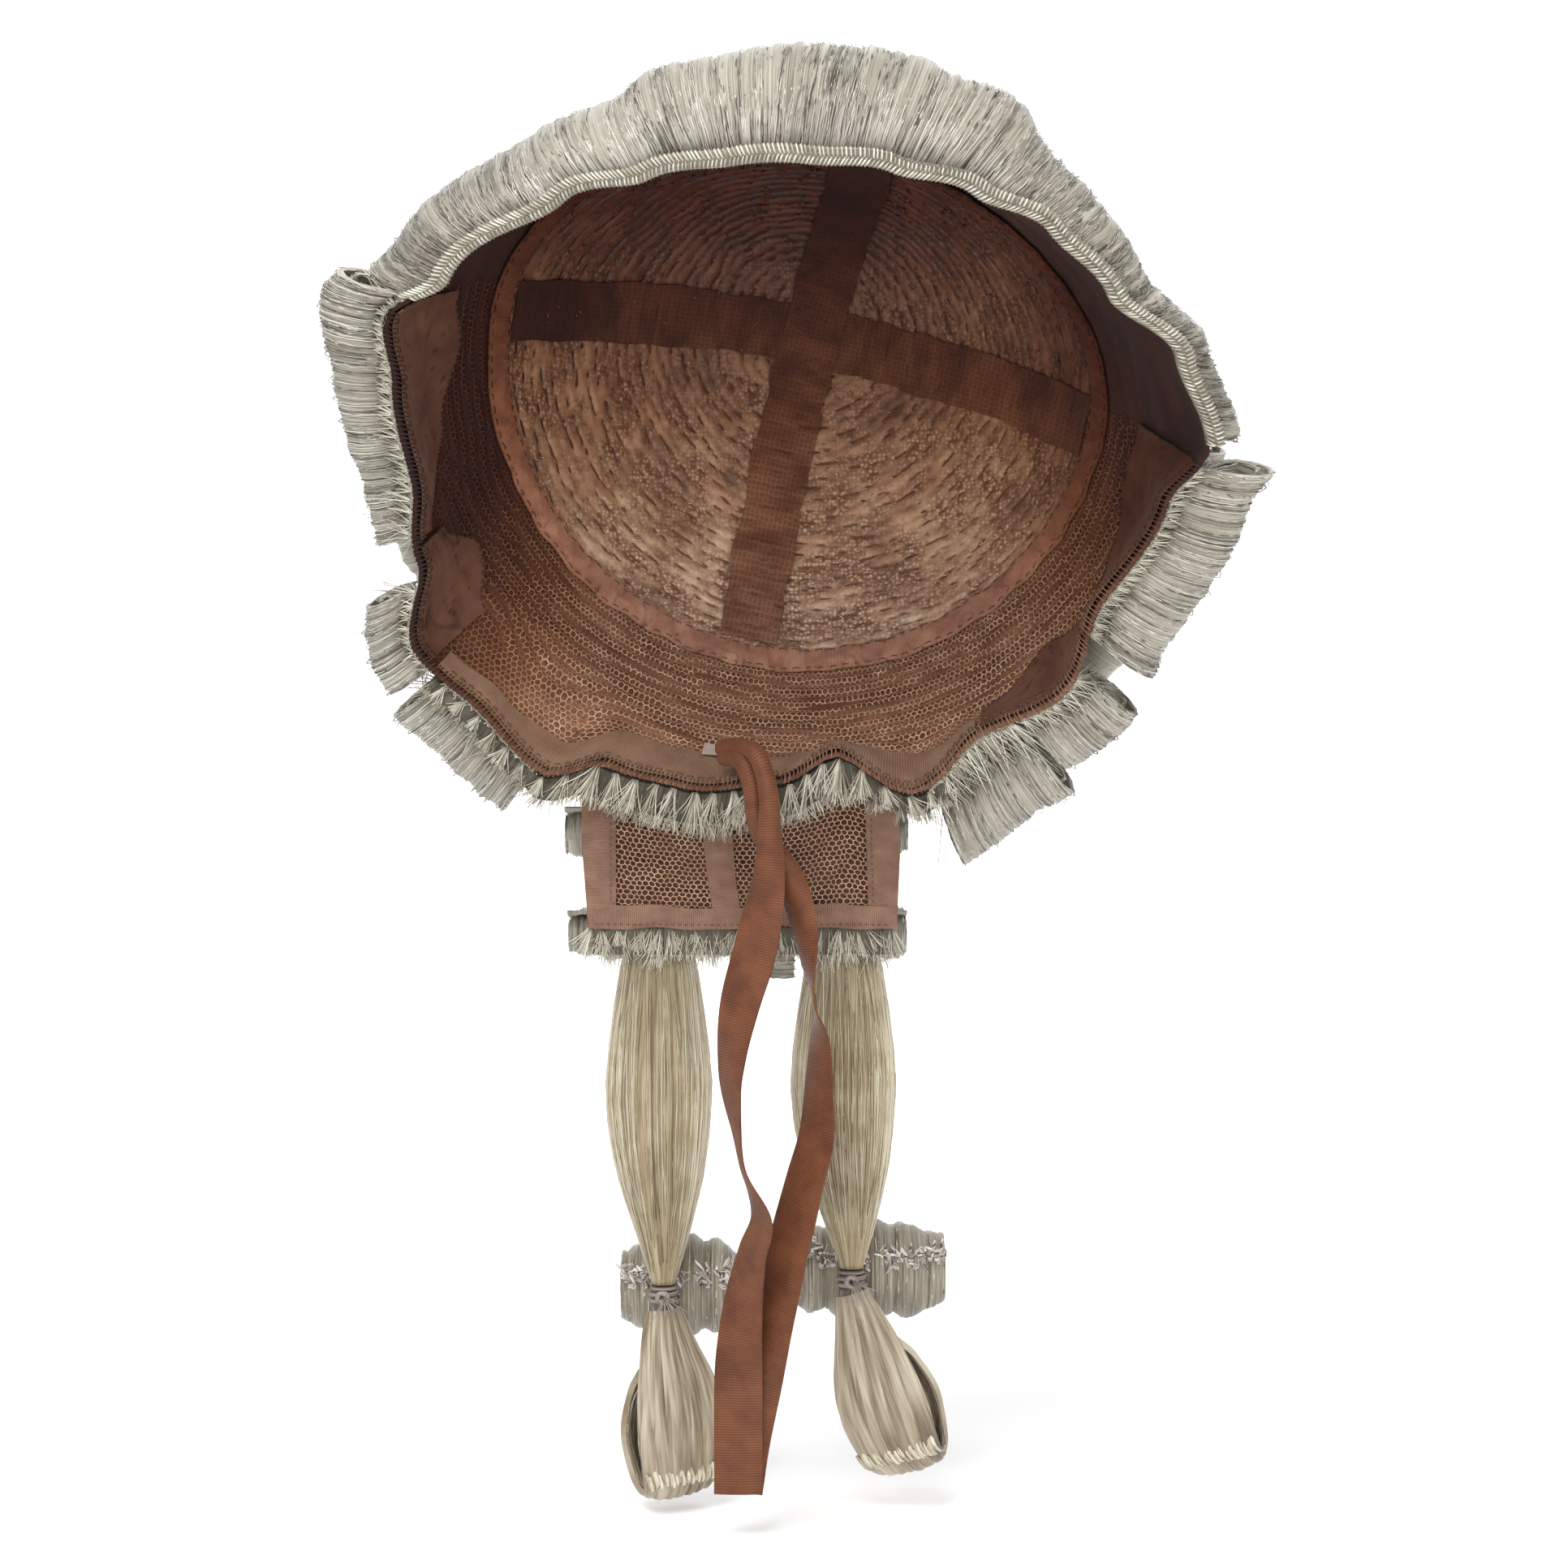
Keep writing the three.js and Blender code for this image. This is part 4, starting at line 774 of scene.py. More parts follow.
def stitched_line(name, bearing, rises, offset, pitch):
    """Running stitches along lines on the inside of the cap."""
    paths = []
    for rise in rises:
        line = cap_point(bearing, rise, offset)
        place = lengths_along(line)
        for start in np.arange(0.5, place[-1] - pitch, pitch):
            spots = start + np.array([0, 0.2, 0.4, 0.6]) * pitch
            sunk = np.array([0.35, 0, 0, 0.35])[:, None]
            path = np.stack([np.interp(spots, place, line[:, i]) for i in range(3)], -1)
            out = cap_out(np.interp(spots, place, bearing), np.interp(spots, place, rise))
            paths.append(path + sunk * out)
    wear(strands(name, paths, 0.14, 0.25, 1.0), SEAM_THREAD, "tape")


def ring_reach(bearing):
    rise = math.radians(RING_TAPE_HIGH + 1)
    return crown_reach(bearing) * math.cos(rise) ** (2 / fullness(bearing))


def make_cross_band(name, node_name, turn_to, turn_from, depth, seed):
    along = np.linspace(-ring_reach(turn_from + 180), ring_reach(turn_to), 190)[:, None]
    turn = mix(turn_from, turn_to, np.linspace(0, 1, 190))[:, None]
    share = np.linspace(-1, 1, 15)[None]
    half = BAND_WIDTH / 2 * (1 + 0.06 * waves(along, 0 * share, 14, seed))
    aside = half * share + 0.5 * waves(along, 0 * share, 35, seed + 1)
    reach = np.hypot(along, aside)
    bearing = turn + np.degrees(np.arctan2(aside, along))
    portion = np.minimum(1, reach / crown_reach(bearing))
    rise = np.degrees(np.arccos(portion ** (fullness(bearing) / 2)))
    flat = (90 - rise) * RISE_STEP
    height, slit = weft_rows(flat * np.sin(np.radians(bearing)), flat * np.cos(np.radians(bearing)), flat)
    points = cap_point(bearing, rise, -depth - 0.8 * height)
    # painted shade where the sewn rows' slits show through the band
    piece = surface(name, points, aside, along, 0.8 - 0.6 * slit, 0.3)
    wear(piece, BAND_NET, "net", node_name)


def make_facings():
    for number, (name, edge) in enumerate(FACINGS.items()):
        low, high = min(edge)[0], max(edge)[0]
        bearing = np.linspace(low, high, 50)[None]
        share = np.linspace(0, 1, 24)[:, None]
        rise = mix(NAPE_TAPE_LOW - 0.3, look_up(edge, bearing), share)
        across, along = bearing * 1.6, rise * RISE_STEP
        crease = 1 - 2 * np.abs(waves(across * 0.8 + along, along * 1.3, 19, 41 + number))
        fold = 0.7 * crease + 0.5 * waves(across, along * 2, 9, 51 + number)
        edge_hold = np.sin(math.pi * np.clip(share, 0.06, 0.94))
        points = cap_point(bearing, rise, -1.15 - 0.5 * fold * edge_hold)
        # painted shade along the creases
        relief = 1 - 0.85 * np.clip(crease, 0, 1) ** 7
        piece = surface(name + "_cloth", points, across, along, relief, 0.5, True)
        wear(piece, SATIN, "satin", name)
        stitched_line(name + "_seam", bearing[0], [rise[-1] - 0.5, rise[0] + 0.9], -1.6, 2.2)


def make_nape_tape():
    bearing = np.linspace(NAPE_TAPE_RIGHT, NAPE_TAPE_LEFT, 260)[None]
    share = np.linspace(0, 1, 8)[:, None]
    across = bearing / 360 * RIM_ROUND
    low = NAPE_TAPE_LOW - 0.4
    high = look_up(NAPE_TAPE_HIGH, bearing) + 0.25 * waves(across, 0 * share, 21, 61)
    bow = -1.0 - 0.3 * waves(across, share * 4, 17, 62) - 0.35 * np.sin(math.pi * share)
    points = cap_point(bearing, mix(low, high, share), bow)
    piece = surface("nape_tape_cloth", points, across, share * 9, None, 0.5, True)
    wear(piece, TAPE, "tape", "nape_tape")
    stitched_line("nape_tape_seam", bearing[0], [np.full(260, 1.3)], -1.5, 2.6)


def make_overcast():
    """Slanting stitches over the cap's edge, from one end of the front hair round to the other."""
    line = np.linspace(FRONT_RIGHT + 3, 360 + FRONT_LEFT - 2, 900)
    place = lengths_along(cap_point(line, 0.4))
    rng = np.random.default_rng(71)
    paths = []
    for start in np.arange(0, place[-1] - 2, 1.1):
        at = np.interp(start + np.array([0, 0.3, 0.7, 1.0]) + rng.uniform(-0.15, 0.15), place, line)
        rises, offsets = np.array([0.6, 0.0, 0.0, 0.5]), np.array([-1.3, -1.1, 1.2, 1.5])
        drop = down_cap(np.array([0, 0.35, 0.35, 0.1]))
        paths.append(cap_point(at, rises, offsets) + drop)
    wear(strands("edge_overcast", paths, 0.2, rng.uniform(0.1, 1, len(paths)), 1.0), SEAM_THREAD, "tape")


def make_label():
    place = np.linspace(-1, 1, 25)[None]
    share = np.linspace(0, 1, 11)[:, None]
    bearing = 178 + place * 6 / SIDE_REACH * 57.3
    rise = look_up(NAPE_TAPE_HIGH, bearing) - 0.8 + share * 2.9
    points = cap_point(bearing, rise, -1.7 - 0.15 * np.sin(place * 4 + share))
    piece = surface("size_label_cloth", points, place * 6, share * 5, None, 0.3, True)
    wear(piece, LABEL, "label", "size_label")


# Front and crown hair

def crown_low(bearing):
    side = ease(45, 80, np.abs((bearing + 180) % 360 - 180))
    return mix(CROWN_LOW_BROW, CROWN_LOW_SIDE, side)


def front_point(bearing, share, stand):
    """Points of the front hair from the woven edge to the crown hair, by share of its sweep."""
    section = curve_through([(0.0, 0.12)] + FRONT_SECTION[1:] + [(0.85, 0.52), (1.0, 0.3)], 60)
    spread = lengths_along(section * [2.2, 1])
    along = np.interp(share, spread / spread[-1], section[:, 0])
    out = np.interp(share, spread / spread[-1], section[:, 1])
    top = crown_low(bearing)
    lift = FRONT_LIFT * look_up(FRONT_SWEEP, bearing)
    rise = top * np.clip(along, 0, 1) ** (fullness(bearing) / 2)
    offset = mix(lift * out, CROWN_EDGE_DEPTH + 1, ease(0.6, 1, share))
    return cap_point(bearing, rise, NET_WALL + offset + stand)


def make_front_hair():
    bearing = np.linspace(FRONT_LEFT, FRONT_RIGHT, 420)[None]
    share = np.linspace(0, 1, 26)[:, None]
    across = lengths_along(cap_point(bearing[0], 4, 12))[None]
    drift = across + share * 7 * waves(across, 0 * share, 55, 81)
    drift = drift + 1.2 * share * waves(across, share * 20, 9, 82)
    coarse, fine = locks(drift, 4.2, 83), locks(drift + 2, 1.5, 84)
    stand = (1.5 * coarse + 0.6 * fine) * ease(0.02, 0.2, share) * (1 - 0.6 * ease(0.75, 1, share)) - 1.6
    points = front_point(bearing, share, stand)
    # painted shade: darker in the partings and towards both sides
    relief = np.clip(0.2 + 0.5 * coarse + 0.5 * fine, 0, 1) * (1 - 0.4 * ease(38, 80, np.abs(bearing + 8)))
    piece = surface("front_hair_mass", points, across, share * 46, relief, 1.6)
    wear(piece, PALE_HAIR, "hair", "front_hair")
    rng = np.random.default_rng(85)
    count = 2800
    start = rng.uniform(FRONT_LEFT, FRONT_RIGHT, count)[:, None]
    end = rng.uniform(0.3, 0.8, count)[:, None]
    share = np.linspace(0.0, 1, 5)[None] * end
    wander = rng.normal(0, 1.5, (count, 1)) * share**1.5 + rng.normal(0, 0.2, (count, 5))
    wander = wander + 4.2 * share * waves(start, 0 * start, 30, 86)
    loose = rng.random((count, 1)) < 0.03
    stand = rng.uniform(-0.6, 0.8, (count, 1)) + np.where(loose, 2.4, 0.4) * share**2
    paths = front_point(start + wander, share, stand * ease(0, 0.12, share) - 0.6)
    # painted shade: hairs darker towards both sides
    shade = hair_shades(rng, count, 0.18) * (1 - 0.42 * ease(38, 80, np.abs(start[:, 0] + 8)))
    wear(strands("front_hair_strands", paths, rng.uniform(0.11, 0.21, count), shade), PALE_STRAND, "hair")


def make_braid():
    bearing = np.linspace(FRONT_LEFT, FRONT_RIGHT, 420)[None]
    turn = np.linspace(0, 2 * math.pi, 15)[:, None]
    out = BRAID_WIDTH * (0.5 + 0.46 * np.cos(turn))
    drop = BRAID_HEIGHT * (0.5 - 0.4 * np.sin(turn)) + CLEARANCE
    points = cap_point(bearing, 0, out) + down_cap(drop)
    across = lengths_along(cap_point(bearing[0], 0))[None]
    piece = surface("front_braid_core", points, turn * 2, across, 0.4, joined=True)
    cap_ends(piece)
    wear(piece, PALE_HAIR, "hair", "front_braid")
    line = np.linspace(FRONT_LEFT, FRONT_RIGHT, 1500)
    place = lengths_along(cap_point(line, 0))
    rng = np.random.default_rng(91)
    paths, shades = [], []
    for row, (inner, outer, lean) in enumerate([(0.02, 0.5, 0.9), (0.46, 1.02, -0.8)]):
        for start in np.arange(0, place[-1], 0.95):
            spots = start + rng.uniform(-0.12, 0.12) + np.array([0, 0.3, 0.7, 1.0]) * lean + row * 0.4
            at = np.interp(spots, place, line)
            out = BRAID_WIDTH * mix(inner, outer, np.array([0, 0.3, 0.7, 1.0]))
            arch = BRAID_HEIGHT * np.array([0.72, 1.08, 1.08, 0.8]) + CLEARANCE
            if row == 0:
                arch = BRAID_HEIGHT * np.array([0.35, 0.9, 1.1, 0.95]) + CLEARANCE
            paths.append(cap_point(at, 0, out) + down_cap(arch))
            shades.append(rng.uniform(0.35, 0.95))
    wear(strands("front_braid_stitches", paths, 0.27, shades, 0.9), CUT_STRAND, "hair")


def cap_ends(piece):
    """Closes the open ends of a tube."""
    deselect()
    piece.select_set(True)
    bpy.context.view_layer.objects.active = piece
    bpy.ops.object.mode_set(mode="EDIT")
    bpy.ops.mesh.select_all(action="DESELECT")
    bpy.ops.mesh.select_non_manifold()
    bpy.ops.mesh.edge_face_add()
    bpy.ops.mesh.select_all(action="SELECT")
    bpy.ops.mesh.quads_convert_to_tris(quad_method="BEAUTY", ngon_method="BEAUTY")
    bpy.ops.mesh.normals_make_consistent(inside=False)
    bpy.ops.object.mode_set(mode="OBJECT")


def make_crown_hair():
    bearing = np.linspace(0, 360, 201)[None]
    share = np.linspace(0, 1, 42)[:, None]
    low = crown_low(bearing) - 0.5
    rise = mix(low, 90, share)
    angle, reach = np.radians(bearing), 90 - rise
    x, z = reach * np.sin(angle) * 2, reach * np.cos(angle) * 2
    comb = locks(x + 3 * waves(x, z, 40, 101), 3.4, 102)
    frizz = 0.5 * waves(x, z, 7, 103) + 0.35 * waves(x, z, 3, 104)
    depth = mix(CROWN_EDGE_DEPTH, CROWN_DEPTH, ease(0, 0.17, share))
    points = cap_point(bearing, rise, NET_WALL + depth - 1 + 0.8 * comb + frizz)
    relief = np.clip(0.35 + 0.5 * comb + 0.2 * frizz, 0, 1)
    piece = surface("crown_hair_mass", points, x, z, relief, 4, joined=True)
    wear(piece, PALE_HAIR, "hair", "crown_hair")
    rng = np.random.default_rng(105)
    count = 1700
    spot_x, spot_z = rng.uniform(-110, 110, (2, count))
    reach = np.hypot(spot_x, spot_z) / 2
    keep = reach < 60
    spot_x, spot_z = spot_x[keep, None], spot_z[keep, None]
    count = len(spot_x)
    run = np.linspace(0, 1, 5)[None]
    z = spot_z - run * rng.uniform(10, 22, (count, 1))
    x = spot_x + rng.normal(0, 3, (count, 1)) * run + rng.normal(0, 0.5, (count, 5))
    rise = 90 - np.hypot(x, z) / 2
    bearing = np.degrees(np.arctan2(x, z))
    rise = np.maximum(rise, crown_low(bearing) - 1)
    stand = CROWN_DEPTH + rng.uniform(-0.4, 0.6, (count, 1))
    stand = stand + rng.uniform(0, 2.0, (count, 1)) * np.sin(run * math.pi)
    paths = cap_point(bearing, rise, NET_WALL + stand)
    wear(strands("crown_hair_strands", paths, 0.15, hair_shades(rng, count)), PALE_STRAND, "hair")


def make_under_hair():
    """Short hair that covers the cap's outside between the rows of rolls, darkened with painted shade."""
    bearing = np.linspace(FRONT_RIGHT - 4, 360 + FRONT_LEFT + 4, 200)[None]
    rise = np.linspace(2.5, CROWN_LOW_SIDE + 3, 22)[:, None]
    across, along = bearing / 360 * RIM_ROUND, rise * RISE_STEP
    drift = across + 2 * waves(across, along, 30, 191)
    lock = locks(drift, 2.6, 192)
    points = cap_point(bearing, rise, NET_WALL + 0.35 + 0.5 * lock)
    piece = surface("under_hair_layer", points, across, along, np.clip(0.2 + 0.8 * lock, 0, 1), 0.3)
    wear(piece, SHADED_UNDER_HAIR, "hair")


# Rolls

def roll_of(centre, out, up, radius, root, start=-168, rounding=0.0):
    """A roll's axis with its two cross directions, where its hair springs from and how it is wound."""
    return {
        "place": lengths_along(centre), "centre": centre, "out": out, "up": up, "radius": radius,
        "root": root, "start": math.radians(start), "rounding": rounding,
    }


def pick(roll, key, place):
    return np.stack([np.interp(place, roll["place"], roll[key][:, i]) for i in range(3)], -1)


def roll_point(roll, place, angle, reach):
    radius = np.interp(place, roll["place"], roll["radius"]) + reach
    out, up = pick(roll, "out", place), pick(roll, "up", place)
    spoke = out * np.cos(angle)[..., None] + up * np.sin(angle)[..., None]
    return pick(roll, "centre", place) + spoke * radius[..., None]


WIND_SWEEP = math.radians(168 + 180 + 215)
WIND_OUTER = 0.62


def wound(roll, place, turn, stand):
    """Points of a sheet of hair that springs from the root and winds round the roll."""
    angle = roll["start"] + WIND_SWEEP * turn
    inward = ROLL_WALL * ease(WIND_OUTER - 0.1, 1, turn) + 0.5
    rounding = roll["rounding"] * np.abs(place / roll["place"][-1] * 2 - 1) ** 4
    points = roll_point(roll, place, angle, stand - inward - rounding)
    share = ease(0, 0.16, turn)[..., None]
    return mix(pick(roll, "root", place), points, share)


def make_roll(name, roll, seed, fine=0.5, loops=160, turns=46, material=None, slot="hair", lumps=0.35):
    """A roll of hair, open at both ends, with loose strands wound round it."""
    length = roll["place"][-1]
    columns = max(20, int(length / fine))
    place, turn = np.meshgrid(np.linspace(0, length, columns), np.linspace(0, 1, turns))
    drift = place + 1.6 * turn * waves(place, 0 * turn, 20, seed) + 0.5 * waves(place, turn * 12, 6, seed + 1)
    coarse, fine_locks = locks(drift, 2.1, seed + 2), locks(drift + 5, 0.9, seed + 3)
    stand = 0.95 * coarse + 0.35 * fine_locks - 0.9 + lumps * waves(place, turn * 8, 9, seed + 5)
    points = wound(roll, place, turn, stand)
    relief = np.clip(0.15 + 0.6 * coarse + 0.4 * fine_locks, 0, 1)
    reach = float(roll["radius"].mean())
    piece = surface(name + "_hair", points, place, turn * WIND_SWEEP * reach, relief, 0.7)
    wear(piece, material or PALE_HAIR, slot, name)
    rng = np.random.default_rng(seed + 4)
    start = rng.uniform(0.0, 0.1, (loops, 1))
    end = rng.uniform(0.5, 0.72, (loops, 1))
    turn = mix(start, end, np.linspace(0, 1, 11)[None])
    home = rng.uniform(0, length, (loops, 1))
    home[: loops // 6] = rng.choice([0.0, length], (loops // 6, 1)) + rng.normal(0, 0.5, (loops // 6, 1))
    turn[: loops // 6] += 0.3 * np.linspace(0, 1, 11)
    place = home + rng.normal(0, 0.7, (loops, 1)) * turn + rng.normal(0, 0.1, turn.shape)
    place = np.clip(place, -0.6, length + 0.6)
    near = lumps * waves(place, turn * 8, 9, seed + 5)
    loose = np.where(rng.random((loops, 1)) < 0.04, 0.9, 0) * np.sin(turn * 5)
    paths = wound(roll, place, turn, rng.uniform(-0.35, 0.35, (loops, 1)) + loose + near)
    strand = PALE_STRAND if slot == "hair" else TAIL_STRAND
    shade = hair_shades(rng, loops, 0.16)
    wear(strands(name + "_strands", paths, rng.uniform(0.11, 0.22, loops), shade, 0.8), strand, slot)


def cap_roll(bearing, rise, radius, stand, root_rise):
    out = cap_out(bearing, rise)
    angle = np.radians(bearing)
    around = np.stack([np.cos(angle), 0 * angle, -np.sin(angle)], -1) @ CAP_TURN.T
    centre = cap_point(bearing, rise, NET_WALL + SOFT_CLEARANCE + radius + stand)
    root = cap_point(bearing, root_rise, NET_WALL + 0.5)
    return roll_of(centre, out, unit(np.cross(around, out)), np.broadcast_to(radius, len(bearing)), root)


def tuft(rng, root, toward, length, spread, count, stops=5, bend=None):
    """Paths of hairs that spring from a point and flare out."""
    toward = unit(np.asarray(toward, float))
    run = np.linspace(0, 1, stops)[None, :, None]
    scatter = rng.normal(0, 1, (count, 1, 3))
    scatter = scatter - (scatter @ toward)[..., None] * toward
    reach = length * rng.uniform(0.8, 1.08, (count, 1, 1))
    fan = scatter * spread * (0.12 + 0.88 * run**1.3)
    curve = 0 if bend is None else np.asarray(bend, float) * run**2 * length
    return root + toward * reach * run + fan * length + curve + rng.normal(0, 0.06, (count, stops, 3))


def make_cap_rolls():
    rng = np.random.default_rng(111)
    for number, (name, start, end, rise, rise_end, stand, size, size_end) in enumerate(RIM_ROLLS):
        share = np.linspace(0, 1, 60)
        bearing = mix(start, end, share)
        radius = ROLL_RADIUS * mix(size, size_end, share)
        roll = cap_roll(bearing, mix(rise, rise_end, share), radius, stand, np.full(60, 0.8))
        make_roll(name, roll, 200 + 10 * number, 0.6, int(4.4 * roll["place"][-1]) + 40, 40)
        paths, shades = [], []
        length = roll["place"][-1]
        for place in np.arange(1.2, length, 2.9):
            root = pick(roll, "root", place) + down_cap(0.4)
            aim = roll_point(roll, np.array(place), np.array(math.radians(-80)), -1.0)
            toward = aim - root + 0.4 * pick(roll, "out", place)
            reach = float(np.linalg.norm(aim - root)) * rng.uniform(0.6, 0.9) + 1.0
            paths.append(tuft(rng, root, toward, reach, 0.2, 34, 4, 0.12 * pick(roll, "out", place)))
            shades.append(hair_shades(rng, 34, 0.1))
        wear_tufts(name + "_tufts", paths, 0.17, shades, 0.5, CUT_STRAND)
    span = (ROLL_TO - ROLL_FROM) / ROLLS_PER_ROW
    for row, (kind, rise) in enumerate(ROW_RISES.items()):
        for i in range(ROLLS_PER_ROW):
            start = ROLL_FROM + i * span + ROLL_GAP / 2
            bearing = np.linspace(start, start + span - ROLL_GAP, 40)
            level, radius = np.full(40, rise), np.full(40, float(ROLL_RADIUS))
            roll = cap_roll(bearing, level, radius, CLEARANCE, level - 3)
            make_roll(f"{kind}_{i + 1}", roll, 400 + 100 * row + 10 * i, 1.3, 40, 24)


def make_nape_fringe():
    low, high = FRINGE_SHAPE[0][0], FRINGE_SHAPE[-1][0]
    bearing = np.linspace(low, high, 300)[None]
    across = bearing / 360 * RIM_ROUND
    length = FRINGE_LENGTH * look_up(FRINGE_SHAPE, bearing)
    out = cap_out(bearing, 0)
    strip = [cap_point(bearing, rise, NET_WALL + 1.4) for rise in (3.6, 2.0, 0.6)]
    bumps = 0.8 * locks(across, 3.2, 121)
    for share in (0.25, 0.5, 0.72):
        step = (length * share)[..., None] * (0.94 * out) + down_cap(0.34 * length * share + 0.5 * bumps)
        strip.append(cap_point(bearing, 0.6, NET_WALL + 1.4) + step)
    points = np.concatenate(strip)
    fade = np.array([1, 1, 0.8, 0.6, 0.5, 0.4])[:, None]
    relief = np.repeat(np.clip(0.15 + bumps, 0, 1), len(strip), 0) * fade
    piece = surface("nape_fringe_mass", points, across, np.arange(6)[:, None] * 2.5, relief, 1.0)
    # the fringe's inner mass is darkened with painted shade
    wear(piece, SHADED_UNDER_HAIR, "hair", "nape_fringe")
    rng = np.random.default_rng(122)
    paths, shades = [], []
    for row, (lift, near, count) in enumerate([(0.4, 1.0, 48), (0.9, 2.6, 34)]):
        for at in np.arange(low + 0.6 + row * 1.5, high, 2.9):
            root = cap_point(at + rng.normal(0, 0.15), lift, NET_WALL + near)
            toward = 0.94 * cap_out(at, 0) + down_cap(rng.uniform(0.2, 0.6)) + rng.normal(0, 0.12, 3)
            reach = FRINGE_LENGTH * float(look_up(FRINGE_SHAPE, at)) * rng.uniform(0.8, 1.05)
            paths.append(tuft(rng, root, toward, reach, 0.26, count, 4))
            # painted shade: the row behind is darker
            shades.append(hair_shades(rng, count, 0.12) * (1.0 if row == 0 else 0.6))
    wear_tufts("nape_fringe_tufts", paths, 0.16, shades, 0.55, CUT_STRAND)


# Hanging flap

def flap_point(across, down, depth):
    bearing = mix(FLAP_LEFT_BEARING, FLAP_RIGHT_BEARING, across)
    top = cap_point(bearing, FLAP_RISE, NET_WALL + SOFT_CLEARANCE + CLEARANCE) - HANG
    x = mix(top[..., 0], FLAP_LEFT + FLAP_WIDTH * across, down)
    y = mix(top[..., 1], FLAP_Y, ease(0, 0.5, down))
    z = mix(top[..., 2], FLAP_BOTTOM, down)
    return HANG + np.stack([x, y + depth, z], -1)


def make_flap():
    across, down = np.linspace(0, 1, 80)[None], np.linspace(0, 1, 50)[:, None]
    wide, tall = across * FLAP_WIDTH, down * 46
    fold = 0.45 * waves(wide, tall * 1.5, 12, 131) + 0.25 * waves(wide, tall, 5, 132)
    points = flap_point(*np.broadcast_arrays(across, down), 0.15 + fold * 0.6)
    # painted shade that follows the folds
    piece = surface("flap_net_cloth", points, wide, tall, 0.7 + 0.3 * fold, 0.5, True)
    wear(piece, FLAP_NET, "net", "flap_net")

    def place(x, y):
        share = (x + 1.5) / FLAP_WIDTH
        drop = (y + 1) / 46
        bend = 0.45 * waves(x + 1.5, (y + 1) * 1.5, 12, 131) + 0.25 * waves(x + 1.5, y + 1, 5, 132)
        return flap_point(share, drop, -0.25 + bend * 0.6)

    threads = net_threads("flap_threads", place, FLAP_WIDTH - 4, 43, 1.5, 0.25, 133)
    wear(threads, NET_THREAD, "net")
    make_flap_tapes()


def tape_strip(name, corners, seed, node_name):
    """A narrow binding tape on the flap, between rows of (left, right, down) shares."""
    left, right, down = (np.array(column)[:, None] for column in zip(*corners))
    rows = np.linspace(0, len(corners) - 1, 60)
    marks = np.arange(len(corners))
    left, right, down = (np.interp(rows, marks, column[:, 0])[:, None] for column in (left, right, down))
    share = np.linspace(0, 1, 9)[None]
    across = mix(left, right, share)
    across, down = np.broadcast_arrays(across, down)
    long = down * 46
    fold = 0.5 * waves(across * FLAP_WIDTH, long, 9, seed) + 0.35 * np.sin(long * 1.1 + seed)
    points = flap_point(across, down, -0.95 + 0.35 * fold - 0.3 * np.sin(math.pi * share))
    piece = surface(name, points, share * FLAP_TAPE, long, None, 0.4, True)
    wear(piece, FLAP_TAPE_CLOTH, "tape", node_name)


def make_flap_tapes():
    side = 1 / 11
    left_edges = [(0.0, side, 0.08), (-0.01, side, 0.5), (0.0, side, 1.0)]
    right_edges = [(1 - side, 1.0, 0.08), (1 - side, 1.01, 0.5), (1 - side, 1.0, 1.0)]
    tape_strip("flap_tape_left_cloth", left_edges, 141, "flap_tape_left")
    tape_strip("flap_tape_right_cloth", right_edges, 142, "flap_tape_right")
    middle = [(0.36, 0.455, 0.1), (0.375, 0.47, 0.4), (0.39, 0.48, 0.7), (0.41, 0.5, 0.95)]
    tape_strip("flap_tape_middle_cloth", middle, 143, "flap_tape_middle")
    across = np.linspace(0.02, 0.98, 120)[None]
    share = np.linspace(0, 1, 9)[:, None]
    low = 1.0 + 0.012 * waves(across * FLAP_WIDTH, 0 * share, 20, 144)
    down = mix(low - 0.14, low, share)
    wide = across * FLAP_WIDTH
    fold = 0.4 * waves(wide, down * 46, 8, 145)
    bow = -1.15 + fold - 0.3 * np.sin(math.pi * share)
    points = flap_point(np.broadcast_to(across, down.shape), down, bow)
    piece = surface("flap_tape_hem_cloth", points, wide, share * FLAP_TAPE, None, 0.4, True)
    wear(piece, HEM_TAPE_CLOTH, "tape", "flap_tape_hem")
    paths = []
    seams = [
        ((0.02, 0.975), (0.98, 0.975), 46), ((0.075, 0.1), (0.075, 0.86), 20),
        ((0.925, 0.1), (0.925, 0.86), 20),
    ]
    for start, end, count in seams:
        spots = np.linspace(0, 1, 2 * count + 1)
        for i in range(count):
            at = mix(np.array(start), np.array(end), spots[2 * i : 2 * i + 2, None])
            paths.append(flap_point(at[:, 0], at[:, 1], -1.75))
    wear(strands("flap_seams", paths, 0.14, 0.3, 1.0), SEAM_THREAD, "tape")


